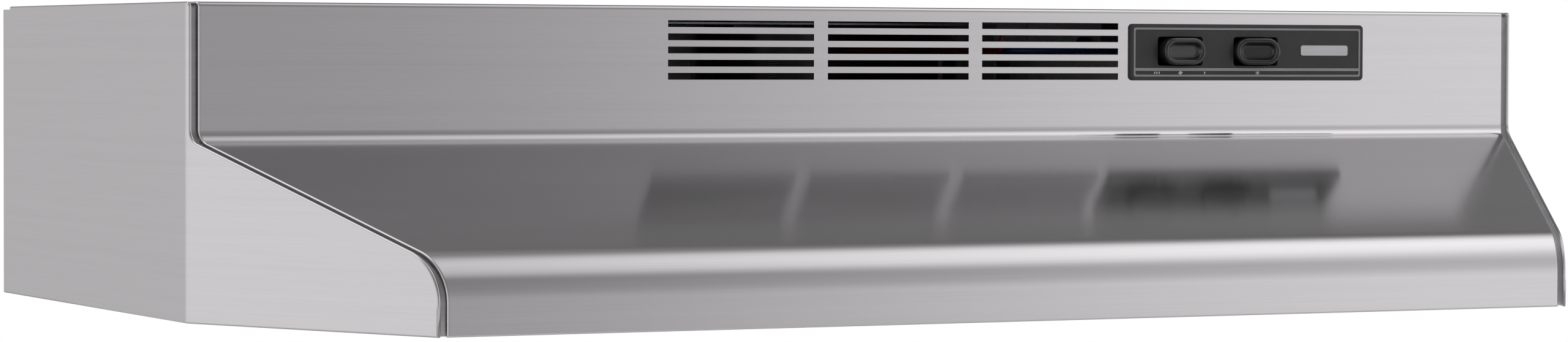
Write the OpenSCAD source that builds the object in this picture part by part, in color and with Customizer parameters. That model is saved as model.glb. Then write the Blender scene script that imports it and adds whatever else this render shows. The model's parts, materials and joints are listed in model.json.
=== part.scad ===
// Under cabinet range hood, non-ducted, with a three-group front grille and two rocker switches.
// Frame: +Z up, -Y towards the cook, origin in the middle of the top face's back edge.
// The cabinet floor is the plane z = 0 and the wall is the plane y = 0.

/* [Canopy] */
// Width across the box
hood_w = 762; // [755:1:1070]
// Depth from the wall to the front lip
hood_d = 444.5; // [420:0.5:540]
// Height from the rim to the cabinet
hood_h = 152.4; // [150:0.1:200]
// Depth of the box under the cabinet
box_d = 300; // [296:1:330]
// Width of the front lip, between the mitred sides
lip_w = 624; // [560:1:760]
// Height of the crease above the rim
crease_rise = 87; // [80:0.5:100]
// Height above the rim where the slope and the lip would meet without a bend
lip_rise = 32.8; // [28:0.1:50]
// Outer radius of the bend at the top front edge
top_bend_r = 2.4; // [1.6:0.1:6]
// Radius of the bend at the crease
crease_bend_r = 7; // [4:0.5:14]
// Outer radius of the bend over the front lip
lip_bend_r = 25; // [10:0.5:32]
// Sheet metal thickness
sheet_t = 0.8; // [0.6:0.1:1]
// How far behind the box's front face the side panels fold inwards
fold_lead = 2; // [1:0.1:6]
// Width of the seam between a side panel and the canopy sheet
seam_w = 3; // [2:0.1:5]

/* [Grille] */
// Length of one slot
slot_l = 81.5; // [60:0.5:90]
// Height of one slot
slot_h = 3.4; // [2:0.1:4]
// Distance between slots
slot_pitch = 6.55; // [5:0.05:8]
// Slots in a group
slot_rows = 5; // [3:1:5]
// Metal left between two groups
group_gap = 7.9; // [5:0.1:12]
// From the top face to the middle of the first slot
slot_drop = 9; // [8:0.1:14]

/* [Switches] */
// Width of the switch plate
plate_w = 146; // [140:1:160]
// Height of the switch plate
plate_h = 29.7; // [28:0.1:32]
// Thickness of the switch plate
plate_t = 1.6; // [1:0.1:2.5]
// From the top face to the top of the plate
plate_drop = 7.5; // [6.5:0.1:14]
// Middle of the switch plate, to the right of the hood's middle
plate_x = 209.8; // [205:0.1:220]
// Length of a rocker
rocker_l = 25.6; // [21:0.1:27]
// Height of a rocker
rocker_h = 14; // [10:0.1:15]
// How far a rocker stands out of the plate
rocker_proud = 5.6; // [3:0.1:8]
// Distance between the two rockers
rocker_pitch = 47; // [40:0.5:50]
// Travel of a rocker to each side
rocker_tilt = 8; // [5:0.5:10]

/* [Filter and pan] */
// Height of the pan above the rim
pan_rise = 58; // [52:0.5:62]
// Filter length, across the hood
filter_l = 267; // [220:1:270]
// Filter width, front to back
filter_w = 222; // [200:1:224]
// Filter thickness
filter_t = 9.5; // [6:0.1:10]
// Gap all round the filter
filter_gap = 1.5; // [1.3:0.1:2.5]

/* [Fan] */
// Radius of the fan blades
fan_r = 89; // [70:1:92]
// Number of fan blades
blade_count = 5; // [3:1:7]
// Height of the blades along the shaft
blade_rise = 20; // [14:1:21]
// Gap between the blade tips and the collar
fan_tip_gap = 4; // [2:0.5:6]
// Radius of the motor
motor_r = 42; // [36:1:46]
// Height of the motor
motor_h = 36; // [30:1:36]
// Radius of the motor shaft
shaft_r = 3; // [2.5:0.1:4]

/* [Lamp] */
// Bulb's largest radius
bulb_r = 30; // [24:1:31]
// Bulb length without its cap
bulb_l = 82; // [70:1:86]
// Thickness of the bulb's glass
glass_t = 0.8; // [0.5:0.1:1.5]
// Lens length, across the hood
lens_l = 152; // [130:1:156]
// Lens width, front to back
lens_w = 98; // [80:1:102]
// How far the lens hangs below the pan
lens_drop = 9; // [5:0.5:12]

/* [Mounting] */
// Distance between the keyholes across the hood
keyhole_dx = 700; // [680:1:705]
// Distance between the keyholes front to back
keyhole_dy = 230; // [200:1:236]
// Radius of a keyhole's round end
keyhole_r = 5.5; // [4:0.1:6.5]
// Width of a keyhole's neck
keyhole_neck = 5; // [4:0.1:5.5]
// Radius of the supply knockout
knockout_r = 11.1; // [10:0.1:14]

/* [Hidden] */
$fn = 64;

steel = [0.70, 0.70, 0.71];
zinc = [0.62, 0.64, 0.66];
dark = [0.12, 0.12, 0.13];
play = 0.1;          // gap between two sheets that lie on each other
fit = 0.3;           // gap round a piece that drops into place
eps = 0.01;
far = 2000;          // longer than the hood in any direction

// Heights are given above the rim, which is the plane z = -hood_h.
function rise(h) = h - hood_h;
module at_rise(h) translate([0, 0, rise(h)]) children();

// ---------- the canopy's cross-section, drawn as [y, z] ----------
fold_y = -box_d + fold_lead;
mitre_a = atan((hood_w - lip_w) / 2 / (hood_d + fold_y));      // angle of a mitred side
slope_a = atan((crease_rise - lip_rise) / (hood_d - box_d));
n_top = [0, 1];
n_front = [-1, 0];
n_slope = [-sin(slope_a), cos(slope_a)];
crease = [-box_d, rise(crease_rise)];
lip_corner = [-hood_d, rise(lip_rise)];

// Centre of a bend of radius r inside the corner p between two faces with normals n1 and n2.
function bend_centre(p, n1, n2, r) = p - r * (n1 + n2) / (1 + n1 * n2);
top_c = bend_centre([-box_d, 0], n_top, n_front, top_bend_r);
crease_c = bend_centre(crease, n_front, n_slope, -crease_bend_r);
lip_c = bend_centre(lip_corner, n_slope, n_front, lip_bend_r);

// Points along an arc from angle a1 to a2.
function arc(c, r, a1, a2, steps) =
    [for (i = [0:steps]) let (a = a1 + (a2 - a1) * i / steps) c + r * [cos(a), sin(a)]];
// The top front corner at depth s: a bend, or a sharp corner once s is past its radius.
function top_corner(s) = s < top_bend_r - eps ? arc(top_c, top_bend_r - s, 90, 180, 8) : [[-box_d + s, -s]];

// The canopy's section set inwards by s, filled, running past the rim and the wall by over.
module section(s, over = 0) {
    polygon([[over, -s], each top_corner(s), each arc(crease_c, crease_bend_r + s, 0, slope_a - 90, 10),
        each arc(lip_c, lip_bend_r - s, 90 + slope_a, 180, 20), [-hood_d + s, rise(0) - over],
        [over, rise(0) - over]]);
}

// A layer of the section from depth s1 to depth s2, as sheet metal lies in it.
module layer(s1, s2) {
    difference() {
        section(s1);
        section(s2, 5);
    }
}

// Extrudes a [y, z] drawing across the hood.
module across(w = far) rotate([90, 0, 90]) translate([0, 0, -w / 2]) linear_extrude(w) children();

// The hood's outline seen from above, set inwards by i.
function plan_points(i) = [[hood_w / 2 - i, 0],
    [hood_w / 2 - i, fold_y + i * tan(mitre_a / 2)],
    [lip_w / 2 - i / cos(mitre_a), -hood_d]];
module plan(i, over = 0) {
    p = plan_points(i);
    polygon([[p[0][0], over], p[1], p[2], [p[2][0], -hood_d - over], [-p[2][0], -hood_d - over],
        [-p[2][0], p[2][1]], [-p[1][0], p[1][1]], [-p[0][0], over]]);
}
module plan_prism(i, over = 0) translate([0, 0, -far / 2]) linear_extrude(far) plan(i, over);

// A strip of the outline from inset i1 to i2, on one side: side is -1 for left and 1 for right.
module side_strip(side, i1, i2) {
    intersection() {
        difference() {
            plan_prism(i1);
            plan_prism(i2, 1);
        }
        translate([side * far / 2, 0, 0]) cube(far, center = true);
    }
}

// A block from its least corner to its greatest, with its heights above the rim.
module block(lo, hi) translate([lo[0], lo[1], rise(lo[2])]) cube(hi - lo);
module mirrored() {
    children();
    mirror([1, 0, 0]) children();
}
module rod(r, h1, h2) at_rise(h1) cylinder(r = r, h = h2 - h1);
module ring(r_out, r_in, h1, h2) {
    difference() {
        rod(r_out, h1, h2);
        rod(r_in, h1 - 1, h2 + 1);
    }
}

// ---------- places that several pieces share ----------
hem_t = 2 * sheet_t;                          // a folded edge
seam_depth = hem_t + play;                    // how deep the side panels' flanges lie
seam_i = hem_t + seam_w;                      // where the canopy sheet's edge is, in from the side
flange_w = 14;                                // width of a flange, in from the side
side_hem = 9;                                 // width of the fold along the canopy sheet's sides
edge_hem = 8;                                 // width of the fold round a side panel
rim_hem = 11;                                 // height of the fold along the rim
back_flange = 12;                             // width of the back panel's flange under the top
pan_top = pan_rise + sheet_t;
fan_y = -box_d / 2;
face_y = -box_d;
rear_y = -sheet_t - play;                     // the back panel's inner face, with play

opening_l = filter_l + 2 * filter_gap;        // the pan's opening for the filter
opening_w = filter_w + 2 * filter_gap;
shroud_out = 8;                               // from that opening to the shroud's wall
collar_r = fan_r + fan_tip_gap;
strap_x = collar_r + 36;                      // outside of a strap leg, from the fan's axis
strap_foot = 13;                              // length of a strap's foot
shroud_l = max(opening_l + 2 * shroud_out, 2 * (strap_x + strap_foot + 1));
shroud_w = opening_w + 2 * shroud_out;
shroud_flange = 9;
shroud_top = pan_top + 19.2;                  // underside of the shroud's ceiling
collar_h = 17;
blade_rise0 = shroud_top + 2;                 // lowest point of the blades
motor_rise = blade_rise0 + blade_rise + 6;    // underside of the motor
motor_top = motor_rise + motor_h;
strap_rise = motor_top + 2;                   // underside of the motor strap
strap_t = 1.6;
strap_w = 44;
stud_x = 30;
stud_r = 2;
strap_hole_r = 5;

vent_x = slot_l + group_gap;
plate_rise = hood_h - plate_drop - plate_h / 2;       // middle of the plate
rocker_rise = plate_rise + 0.5;
rocker_x = [plate_x - 42.3, plate_x - 42.3 + rocker_pitch];
pivot_y = face_y + 3;
case_l = rocker_l + 3.4;
case_h = rocker_h + 3;
case_d = 27;                                  // how far a switch case reaches behind the face

lamp_x1 = hood_w / 2 - 49;                    // the lamp housing's right wall
lamp_l = lens_l + 14;
lamp_x0 = lamp_x1 - lamp_l;
lamp_y = -180;
lamp_w = lens_w + 20;
lamp_x = (lamp_x0 + lamp_x1) / 2;
lamp_top = pan_top + 2 * bulb_r + 17;
bulb_rise = pan_top + bulb_r + 8;
lens_gap = 1;
lens_t = 1.8;
lens_axis_y = lamp_y + lens_w / 2 + lens_gap + 4;     // rear of the hook notches
lens_axis_rise = pan_top + 0.2;
hook_x = lens_l / 2 - 22;
socket_x = lamp_x0 + 5;
socket_l = 36;
cap_r = 13;
cap_l = 24;
bulb_x = socket_x + socket_l - 16;            // the bulb cap's end inside the socket

box_x1 = hood_w / 2 - 55;                     // the wiring box's right wall
box_l = 80;
box_x0 = box_x1 - box_l;
box_w = 86;
box_t = 1;
box_y1 = rear_y;
box_y0 = box_y1 - box_w;
box_top = hood_h - sheet_t - play;
entry_x = (box_x0 + box_x1) / 2;
entry_rise = 112;
keyhole_y = -40;                              // the rear keyholes
bushing_y = box_y0 + 18;
bushing_r = 6.4;                              // the hole that takes the wire bushing
ground_y = box_y0 + 24;
ground_rise = 84;

// Where the screws are, seen from above: the shroud's and the strap's are measured from the fan's axis.
shroud_points = [for (sx = [-1, 1], sy = [-1, 1]) [sx * (shroud_l / 2 + 4), sy * (shroud_w / 2 - 14)]];
bracket_points = [for (sx = [-1, 1], sy = [-1, 1]) [sx * (strap_x + 6), sy * 14]];
lamp_points = [for (x = [lamp_x0 + 24, lamp_x1 - 24], s = [-1, 1])
    [x, lamp_y + s * (lamp_w / 2 + 2.6)]];
cover_points = [for (y = [box_y0 + 3.2, box_y1 - 6.2]) [entry_x, y]];
rivet_points = [for (x = [-80, 0, 80]) [x, fan_y + opening_w / 2 + 8]];
module at_fan() translate([0, fan_y, 0]) children();
module holes(points, r, h1, h2)
    for (p = points) translate([p[0], p[1], rise(h1)]) cylinder(r = r, h = h2 - h1);

pan_screw_x = [for (k = [-1, -0.5, 0.45]) k * (hood_w / 2 - 44)];    // screws at the pan's rear

// ---------- canopy sheet metal ----------
module keyhole() {
    cylinder(r = keyhole_r, h = 10, center = true);
    translate([-keyhole_neck / 2, -12, -5]) cube([keyhole_neck, 12, 10]);
    translate([0, -12, 0]) cylinder(d = keyhole_neck, h = 10, center = true);
}

module vent_slots() {
    for (g = [-1:1], r = [0:slot_rows - 1])
        translate([g * vent_x - slot_l / 2, face_y - 1, -slot_drop - r * slot_pitch - slot_h / 2])
            cube([slot_l, 6, slot_h]);
}

module canopy_sheet() {
    color(steel) difference() {
        union() {
            intersection() {
                across() layer(0, sheet_t);
                plan_prism(seam_i, 1);
            }
            // folded side edges
            intersection() {
                across() layer(sheet_t, hem_t);
                difference() {
                    plan_prism(seam_i);
                    plan_prism(seam_i + side_hem, 1);
                }
            }
            // folded rim under the lip
            intersection() {
                across() layer(sheet_t, hem_t);
                plan_prism(seam_i);
                block([-far / 2, -hood_d, 0], [far / 2, -hood_d + 10, rim_hem]);
            }
        }
        vent_slots();
        translate([plate_x - plate_w / 2 + 6, face_y - 1, rise(rocker_rise) - case_h / 2 - 1])
            cube([plate_w - 12, 4, case_h + 2]);
        for (x = [-1, 1], y = [keyhole_y, keyhole_y - keyhole_dy])
            translate([x * keyhole_dx / 2, y, 0]) keyhole();
        translate([entry_x, box_y1 - box_w / 2, 0])
            cylinder(r = knockout_r, h = 10, center = true);
    }
}

module side_panel(side) {
    notch_l = 12;    // relief in the top flange by the wall
    color(steel) difference() {
        union() {
            // a double edge all round, and one sheet inside it
            difference() {
                intersection() {
                    across() section(0);
                    side_strip(side, 0, hem_t);
                }
                intersection() {
                    across() section(edge_hem, 5);
                    side_strip(side, sheet_t, hem_t + 1);
                    block([-far / 2, -hood_d, rim_hem], [far / 2, 5, hood_h]);
                }
            }
            intersection() {
                across() layer(seam_depth, seam_depth + sheet_t);
                side_strip(side, hem_t, flange_w);
            }
        }
        translate([side * hood_w / 2, 0, 0]) cube([4 * flange_w, 2 * notch_l, 2 * hem_t], center = true);
    }
}

module back_panel() {
    x = hood_w / 2 - hem_t - play;            // inside the side panels' double edges
    x_flange = x - flange_w;                  // where the side panels' own flanges end
    top = hood_h - sheet_t - play;
    color(steel) difference() {
        union() {
            block([-x, -sheet_t, 0], [x, 0, top - seam_depth]);
            block([-x_flange, -sheet_t, 0], [x_flange, 0, top]);
            block([-x, -hem_t, 0], [x, 0, rim_hem]);
            // the top flange ends where the wiring box stands
            block([-x_flange, -back_flange, top - sheet_t], [box_x0 - 1, 0, top]);
        }
        translate([entry_x, 0, rise(entry_rise)])
            rotate([90, 0, 0]) cylinder(r = knockout_r, h = 10, center = true);
        for (x = pan_screw_x) translate([x, 0, rise(pan_rise + 8)]) rotate([90, 0, 0])
            cylinder(r = 1.8, h = 6, center = true);
    }
}

// ---------- pan ----------
pan_front = -box_d - 52;
pan_i = hem_t + play;
module pan_openings() {
    translate([-opening_l / 2, fan_y - opening_w / 2, -5]) cube([opening_l, opening_w, 10]);
    translate([lamp_x - lens_l / 2 - lens_gap, lamp_y - lens_w / 2 - lens_gap, -5])
        cube([lens_l + 2 * lens_gap, lens_w + 2 * lens_gap, 10]);
    for (x = [-hook_x, hook_x])
        translate([lamp_x + x - 6, lamp_y, -5]) cube([12, lens_axis_y - lamp_y, 10]);
    translate([box_x0 + 7, box_y0 + 7, -5]) cube([box_l - 14, box_w - 18, 10]);
    // a screwdriver reaches the keyholes through these
    for (x = [-1, 1], y = [keyhole_y, keyhole_y - keyhole_dy])
        translate([x * keyhole_dx / 2, y - 6, -5]) cylinder(r = 8, h = 10);
}

module bottom_pan() {
    wall_h = 12;
    side_i = sheet_t + play;                  // the turned-up sides lie against the side panels
    color(steel) {
        difference() {
            union() {
                intersection() {
                    plan_prism(pan_i);
                    block([-far / 2, pan_front, pan_rise], [far / 2, rear_y - fit, pan_top]);
                }
                intersection() {
                    plan_prism(side_i);
                    block([-far / 2, -box_d, pan_rise], [far / 2, rear_y - fit, pan_top]);
                }
                // turned-up sides and back
                intersection() {
                    difference() {
                        plan_prism(side_i);
                        plan_prism(side_i + sheet_t, 1);
                    }
                    block([-far / 2, -box_d, pan_rise], [far / 2, rear_y - fit, pan_rise + wall_h]);
                }
                block([-hood_w / 2 + pan_i, rear_y - fit - sheet_t, pan_rise],
                    [box_x0 - 2, rear_y - fit, pan_rise + wall_h]);
            }
            at_rise(pan_rise) pan_openings();
            at_fan() holes(shroud_points, 1.6, pan_rise - 1, pan_top + 1);
            holes(lamp_points, 1.2, pan_rise - 1, pan_top + 1);
            holes(cover_points, 1.8, pan_rise - 1, pan_top + 1);
            holes(rivet_points, 1.6, pan_rise - 1, pan_top + 1);
            for (x = pan_screw_x) translate([x, rear_y, rise(pan_rise + 8)]) rotate([90, 0, 0])
                cylinder(r = 1.8, h = 6, center = true);
        }
        // turned-up front, up to the sloping sheet
        intersection() {
            plan_prism(flange_w + 2);
            across() section(sheet_t + play);
            block([-far / 2, pan_front, pan_top], [far / 2, pan_front + sheet_t, crease_rise]);
        }
    }
}

// A pan-head screw pointing along -z, its head's underside at z = 0.
module screw(r, l, head_r = undef, head_h = undef) {
    hr = is_undef(head_r) ? 1.9 * r : head_r;
    hh = is_undef(head_h) ? 1.2 * r : head_h;
    difference() {
        union() {
            cylinder(r = hr, h = hh);
            translate([0, 0, -l]) cylinder(r = r, h = l);
        }
        for (a = [0, 90]) rotate([0, 0, a]) translate([-hr * 0.65, -0.35 * r, hh * 0.5])
            cube([hr * 1.3, 0.7 * r, hh]);
    }
}

module pan_screws() {
    color(zinc) for (x = pan_screw_x)
        translate([x, rear_y - fit - sheet_t, rise(pan_rise + 8)]) rotate([90, 0, 0])
            screw(1.8, 2 * sheet_t + play + fit - 0.1);
}

// ---------- filter ----------
filter_rise = pan_rise - 0.5;                 // underside of the filter
filter_y0 = fan_y - filter_w / 2;
filter_y1 = fan_y + filter_w / 2;
filter_t_sheet = 0.6;
filter_lip = 9;                               // width of the frame's channel
mesh_t = 0.8;

module filter_box(i, h1, h2)
    block([-filter_l / 2 + i, filter_y0 + i, filter_rise + h1],
        [filter_l / 2 - i, filter_y1 - i, filter_rise + h2]);

module filter_frame() {
    color([0.75, 0.76, 0.77]) difference() {
        filter_box(0, 0, filter_t);
        filter_box(filter_t_sheet, filter_t_sheet, filter_t - filter_t_sheet);
        filter_box(filter_lip, -1, filter_t + 1);
    }
}
module filter_mesh_lower()
    color([0.66, 0.67, 0.68]) filter_box(filter_t_sheet + play, filter_t_sheet, filter_t_sheet + mesh_t);
module filter_mesh_upper()
    color([0.66, 0.67, 0.68]) filter_box(filter_t_sheet + play, filter_t - filter_t_sheet - mesh_t,
        filter_t - filter_t_sheet);
module charcoal_pad()
    color([0.10, 0.10, 0.11]) filter_box(filter_t_sheet + play, filter_t_sheet + mesh_t,
        filter_t - filter_t_sheet - mesh_t);
module filter_pull_tab() {
    color([0.75, 0.76, 0.77]) translate([0, filter_y0 + 4.5, rise(filter_rise)]) difference() {
        union() {
            translate([-9, -4, -0.6]) cube([18, 8, 0.6]);
            translate([-9, 3.4, -8]) cube([18, 0.6, 8]);
        }
        translate([0, 3, -4.6]) rotate([90, 0, 0]) cylinder(r = 2.4, h = 4, center = true);
    }
}

ledge_l = 200;
module filter_ledge() {
    y = fan_y + opening_w / 2;
    color(zinc) difference() {
        union() {
            block([-ledge_l / 2, y, pan_rise - 0.8], [ledge_l / 2, y + 14, pan_rise]);
            block([-ledge_l / 2, y, filter_rise - 1], [ledge_l / 2, y + 0.8, pan_rise]);
            block([-ledge_l / 2, y - 9, filter_rise - 1], [ledge_l / 2, y + 0.8, filter_rise - 0.2]);
        }
        holes(rivet_points, 1.6, pan_rise - 5, pan_rise + 5);
    }
}
module ledge_rivets() {
    color(zinc) for (p = rivet_points) translate([p[0], p[1], rise(pan_rise - 0.8)]) {
        translate([0, 0, -1.2]) cylinder(r = 3, h = 1.2);
        translate([0, 0, -0.6]) cylinder(r = 1.55, h = 0.6 + 0.8 + sheet_t);
    }
}
module filter_springs() {
    y = fan_y - opening_w / 2;
    leaf_y = filter_y0 - 1.3;
    color(zinc) for (x = [-62, 48]) {
        block([x, y - 6, pan_top], [x + 14, y + 0.1, pan_top + 0.5]);
        block([x, leaf_y, pan_top], [x + 14, leaf_y + 0.5, filter_rise + filter_t + 1]);
        block([x, leaf_y, filter_rise + filter_t + 0.5], [x + 14, leaf_y + 7, filter_rise + filter_t + 1]);
    }
}

// ---------- fan ----------
module fan_shroud() {
    x = shroud_l / 2;
    y = shroud_w / 2;
    color(zinc) at_fan() {
        difference() {
            union() {
                block([-x, -y, pan_top], [x, y, shroud_top + sheet_t]);
                block([-x - shroud_flange, -y - shroud_flange, pan_top],
                    [x + shroud_flange, y + shroud_flange, pan_top + sheet_t]);
                rod(collar_r + sheet_t, shroud_top, shroud_top + collar_h);
            }
            block([-x + sheet_t, -y + sheet_t, pan_top - 1], [x - sheet_t, y - sheet_t, shroud_top]);
            rod(collar_r, shroud_top - 5, shroud_top + collar_h + 5);
            holes(shroud_points, 1.6, pan_top - 1, pan_top + sheet_t + 1);
            holes(bracket_points, 1.8, shroud_top - 1, shroud_top + sheet_t + 1);
        }
    }
}
module shroud_screws() color(zinc) at_fan() for (p = shroud_points)
    translate([p[0], p[1], rise(pan_top + sheet_t)]) screw(1.6, 2 * sheet_t, head_h = 1.8);

module motor_bracket() {
    foot_rise = shroud_top + sheet_t;
    color(zinc) at_fan() difference() {
        union() {
            block([-strap_x, -strap_w / 2, strap_rise], [strap_x, strap_w / 2, strap_rise + strap_t]);
            mirrored() {
                block([strap_x - strap_t, -strap_w / 2, foot_rise],
                    [strap_x, strap_w / 2, strap_rise + strap_t]);
                block([strap_x - strap_t, -strap_w / 2, foot_rise],
                    [strap_x + strap_foot, strap_w / 2, foot_rise + strap_t]);
            }
        }
        for (x = [-stud_x, stud_x]) translate([x, 0, rise(strap_rise - 1)])
            cylinder(r = strap_hole_r, h = strap_t + 2);
        holes(bracket_points, 1.8, foot_rise - 1, foot_rise + strap_t + 1);
    }
}
module bracket_screws() color(zinc) at_fan() for (p = bracket_points)
    translate([p[0], p[1], rise(shroud_top + sheet_t + strap_t)])
        screw(1.8, strap_t + sheet_t, head_h = 2);

bush_r = 5;
bush_l = 7;
air_gap = 0.5;
rotor_r = 20;
lead_rise = rocker_rise;                      // where the leads go into the motor
module motor_housing() {
    wall = 1.2;
    color([0.20, 0.20, 0.22]) at_fan() difference() {
        rod(motor_r, motor_rise + 4, motor_top);
        difference() {
            rod(motor_r - wall, motor_rise + 3, motor_top - wall);
            rod(bush_r + 4, motor_top - wall - bush_l, motor_top);
        }
        rod(bush_r, motor_rise, motor_top - wall);
        translate([motor_r, 0, rise(lead_rise)]) rotate([0, 90, 0])
            cylinder(r = 5, h = 20, center = true);
        for (a = [0:45:315]) rotate([0, 0, a + 22.5])
            translate([motor_r - 4, -3, rise(motor_rise + 10)]) cube([8, 6, 12]);
    }
}
module motor_end_bell() {
    color([0.20, 0.20, 0.22]) at_fan() difference() {
        union() {
            rod(motor_r, motor_rise + 0.4, motor_rise + 4);
            rod(bush_r + 4, motor_rise - 1.6, motor_rise + 6);
        }
        rod(bush_r, motor_rise - 3, motor_rise + 8);
        for (a = [0:60:300]) rotate([0, 0, a]) translate([24, 0, rise(motor_rise - 1)])
            cylinder(r = 5, h = 7);
    }
}
module motor_stator() {
    color([0.45, 0.45, 0.47]) at_fan()
        ring(motor_r - 1.4, rotor_r + air_gap, motor_rise + 9, motor_rise + 22);
}
module motor_coils() {
    color([0.72, 0.38, 0.18]) at_fan() {
        ring(motor_r - 6, rotor_r + 4, motor_rise + 22, motor_rise + 25.5);
        ring(motor_r - 6, rotor_r + 4, motor_rise + 5.5, motor_rise + 9);
    }
}
module motor_rotor() {
    color([0.55, 0.56, 0.58]) at_fan() ring(rotor_r, shaft_r, motor_rise + 9.5, motor_rise + 21.5);
}
module motor_shaft()
    color([0.80, 0.80, 0.82]) at_fan() rod(shaft_r, blade_rise0 - 1.5, motor_top - 2);
module motor_bushes() {
    running = 0.05;
    color([0.72, 0.58, 0.32]) at_fan() {
        ring(bush_r, shaft_r + running, motor_rise - 1.4, motor_rise - 1.4 + bush_l);
        ring(bush_r, shaft_r + running, motor_top - 1.2 - bush_l + 0.4, motor_top - 1.3);
    }
}
module at_studs() at_fan() for (x = [-stud_x, stud_x]) translate([x, 0, 0]) children();
module motor_grommets() {
    color(dark) at_studs() difference() {
        union() {
            rod(8, motor_top, strap_rise);
            rod(strap_hole_r, motor_top, strap_rise + strap_t + 1);
            rod(8, strap_rise + strap_t, strap_rise + strap_t + 2);
        }
        rod(stud_r + 0.2, motor_top - 1, strap_rise + 10);
    }
}
module motor_studs() color(zinc) at_studs() rod(stud_r, motor_top, strap_rise + strap_t + 5);
module motor_nuts() {
    color(zinc) at_studs() difference() {
        at_rise(strap_rise + strap_t + 2) cylinder(r = 4, h = 2.6, $fn = 6);
        rod(stud_r + 0.05, motor_top, strap_rise + 12);
    }
}

hub_r = 15;
blade_t = 1.6;
module fan_blades() {
    pitch = 27;
    chord = (blade_rise - 1) / sin(pitch);
    color([0.78, 0.79, 0.80]) at_fan() difference() {
        union() {
            rod(hub_r, blade_rise0 + 2, blade_rise0 + blade_rise + 1);
            intersection() {
                rod(fan_r, blade_rise0, blade_rise0 + blade_rise);
                union() for (i = [0:blade_count - 1]) rotate([0, 0, i * 360 / blade_count])
                    translate([0, 0, rise(blade_rise0 + blade_rise / 2)]) rotate([pitch, 0, 0])
                        translate([hub_r - 3, -chord / 2, -blade_t / 2]) cube([fan_r, chord, blade_t]);
            }
        }
        rod(shaft_r, blade_rise0 - 5, motor_rise);
    }
}
module blade_clip() {
    color(zinc) at_fan() ring(6, shaft_r, blade_rise0, blade_rise0 + 2);
}

// ---------- lamp ----------
module lamp_housing() {
    y0 = lamp_y - lamp_w / 2;
    y1 = lamp_y + lamp_w / 2;
    rim = 5;
    color([0.86, 0.86, 0.85]) difference() {
        union() {
            block([lamp_x0, y0, pan_top], [lamp_x1, y1, lamp_top]);
            block([lamp_x0 - rim, y0 - rim, pan_top], [lamp_x1 + rim, y1 + rim, pan_top + sheet_t]);
        }
        block([lamp_x0 + sheet_t, y0 + sheet_t, pan_top - 1],
            [lamp_x1 - sheet_t, y1 - sheet_t, lamp_top - sheet_t]);
        translate([lamp_x0, lamp_y, rise(bulb_rise)]) rotate([0, 90, 0])
            cylinder(r = 6, h = 6, center = true);
        holes(lamp_points, 1.2, pan_top - 1, pan_top + sheet_t + 1);
    }
}
module lamp_screws() color(zinc) for (p = lamp_points)
    translate([p[0], p[1], rise(pan_top + sheet_t)]) screw(1.2, 2 * sheet_t, head_h = 1.6, head_r = 2.1);

module along_bulb(x) translate([x, lamp_y, rise(bulb_rise)]) rotate([0, 90, 0]) children();

module lamp_socket() {
    color([0.90, 0.89, 0.86]) along_bulb(socket_x) difference() {
        union() {
            cylinder(r = 19, h = socket_l);
            translate([0, 0, -1.5]) cylinder(r = 12, h = 2);
        }
        translate([0, 0, 8]) cylinder(r = cap_r + 1.4, h = socket_l);
    }
}
module socket_shell() {
    color([0.80, 0.66, 0.36]) along_bulb(socket_x + 8) {
        difference() {
            cylinder(r = cap_r + 1.3, h = socket_l - 12);
            translate([0, 0, 0.6]) cylinder(r = cap_r + 0.5, h = socket_l);
        }
        translate([0, 0, 0.6]) cylinder(r = 4, h = 2);
    }
}
module socket_bracket() {
    color(zinc) difference() {
        block([lamp_x0 + sheet_t, lamp_y - 22, bulb_rise - 22],
            [lamp_x0 + sheet_t + 1.6, lamp_y + 22, bulb_rise + 22]);
        along_bulb(lamp_x0 - 1) cylinder(r = 13, h = 10);
    }
}
module bulb_cap() {
    color([0.78, 0.78, 0.80]) along_bulb(bulb_x - 1.6) {
        cylinder(r = 4.5, h = 2);
        translate([0, 0, 1.6]) cylinder(r = cap_r - 1, h = cap_l - 2);
        for (i = [0:4]) translate([0, 0, 4 + i * 3.6]) cylinder(r = cap_r, h = 1.8);
    }
}
// The bulb's outline at depth s inside the glass: a straight neck, a cone and a ball.
module bulb_body(s) {
    neck_r = cap_r - 0.4 - s;
    ball_x = bulb_l - bulb_r;
    ball_r = bulb_r - s;
    cylinder(r = neck_r, h = 6);
    translate([0, 0, 6]) cylinder(r1 = neck_r, r2 = ball_r * 0.9, h = ball_x - 6 - ball_r * 0.436);
    translate([0, 0, ball_x]) sphere(ball_r);
}
module bulb_glass() {
    color([0.96, 0.95, 0.92]) along_bulb(bulb_x + cap_l - 2) difference() {
        bulb_body(0);
        translate([0, 0, -eps]) bulb_body(glass_t);
    }
}

module lens_block(i, h1, h2)
    block([lamp_x - lens_l / 2 + i, lamp_y - lens_w / 2 + i, h1],
        [lamp_x + lens_l / 2 - i, lamp_y + lens_w / 2 - i, h2]);
module light_lens() {
    tail = 2.5;
    low = pan_rise - lens_drop;
    flange_top = pan_rise - 0.2;
    color([0.93, 0.93, 0.90, 0.8]) difference() {
        union() {
            lens_block(0, low, pan_top + 3);
            lens_block(-4, flange_top - 1.6, flange_top);
            for (x = [-hook_x, hook_x]) {
                block([lamp_x + x - 5, lens_axis_y - 3, flange_top - 1.6],
                    [lamp_x + x + 5, lens_axis_y - 1.2, lens_axis_rise + 1.2]);
                block([lamp_x + x - 5, lens_axis_y - 3, lens_axis_rise],
                    [lamp_x + x + 5, lens_axis_y + tail, lens_axis_rise + 1.2]);
            }
        }
        lens_block(lens_t, low + lens_t, pan_top + 8);
    }
}
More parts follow.
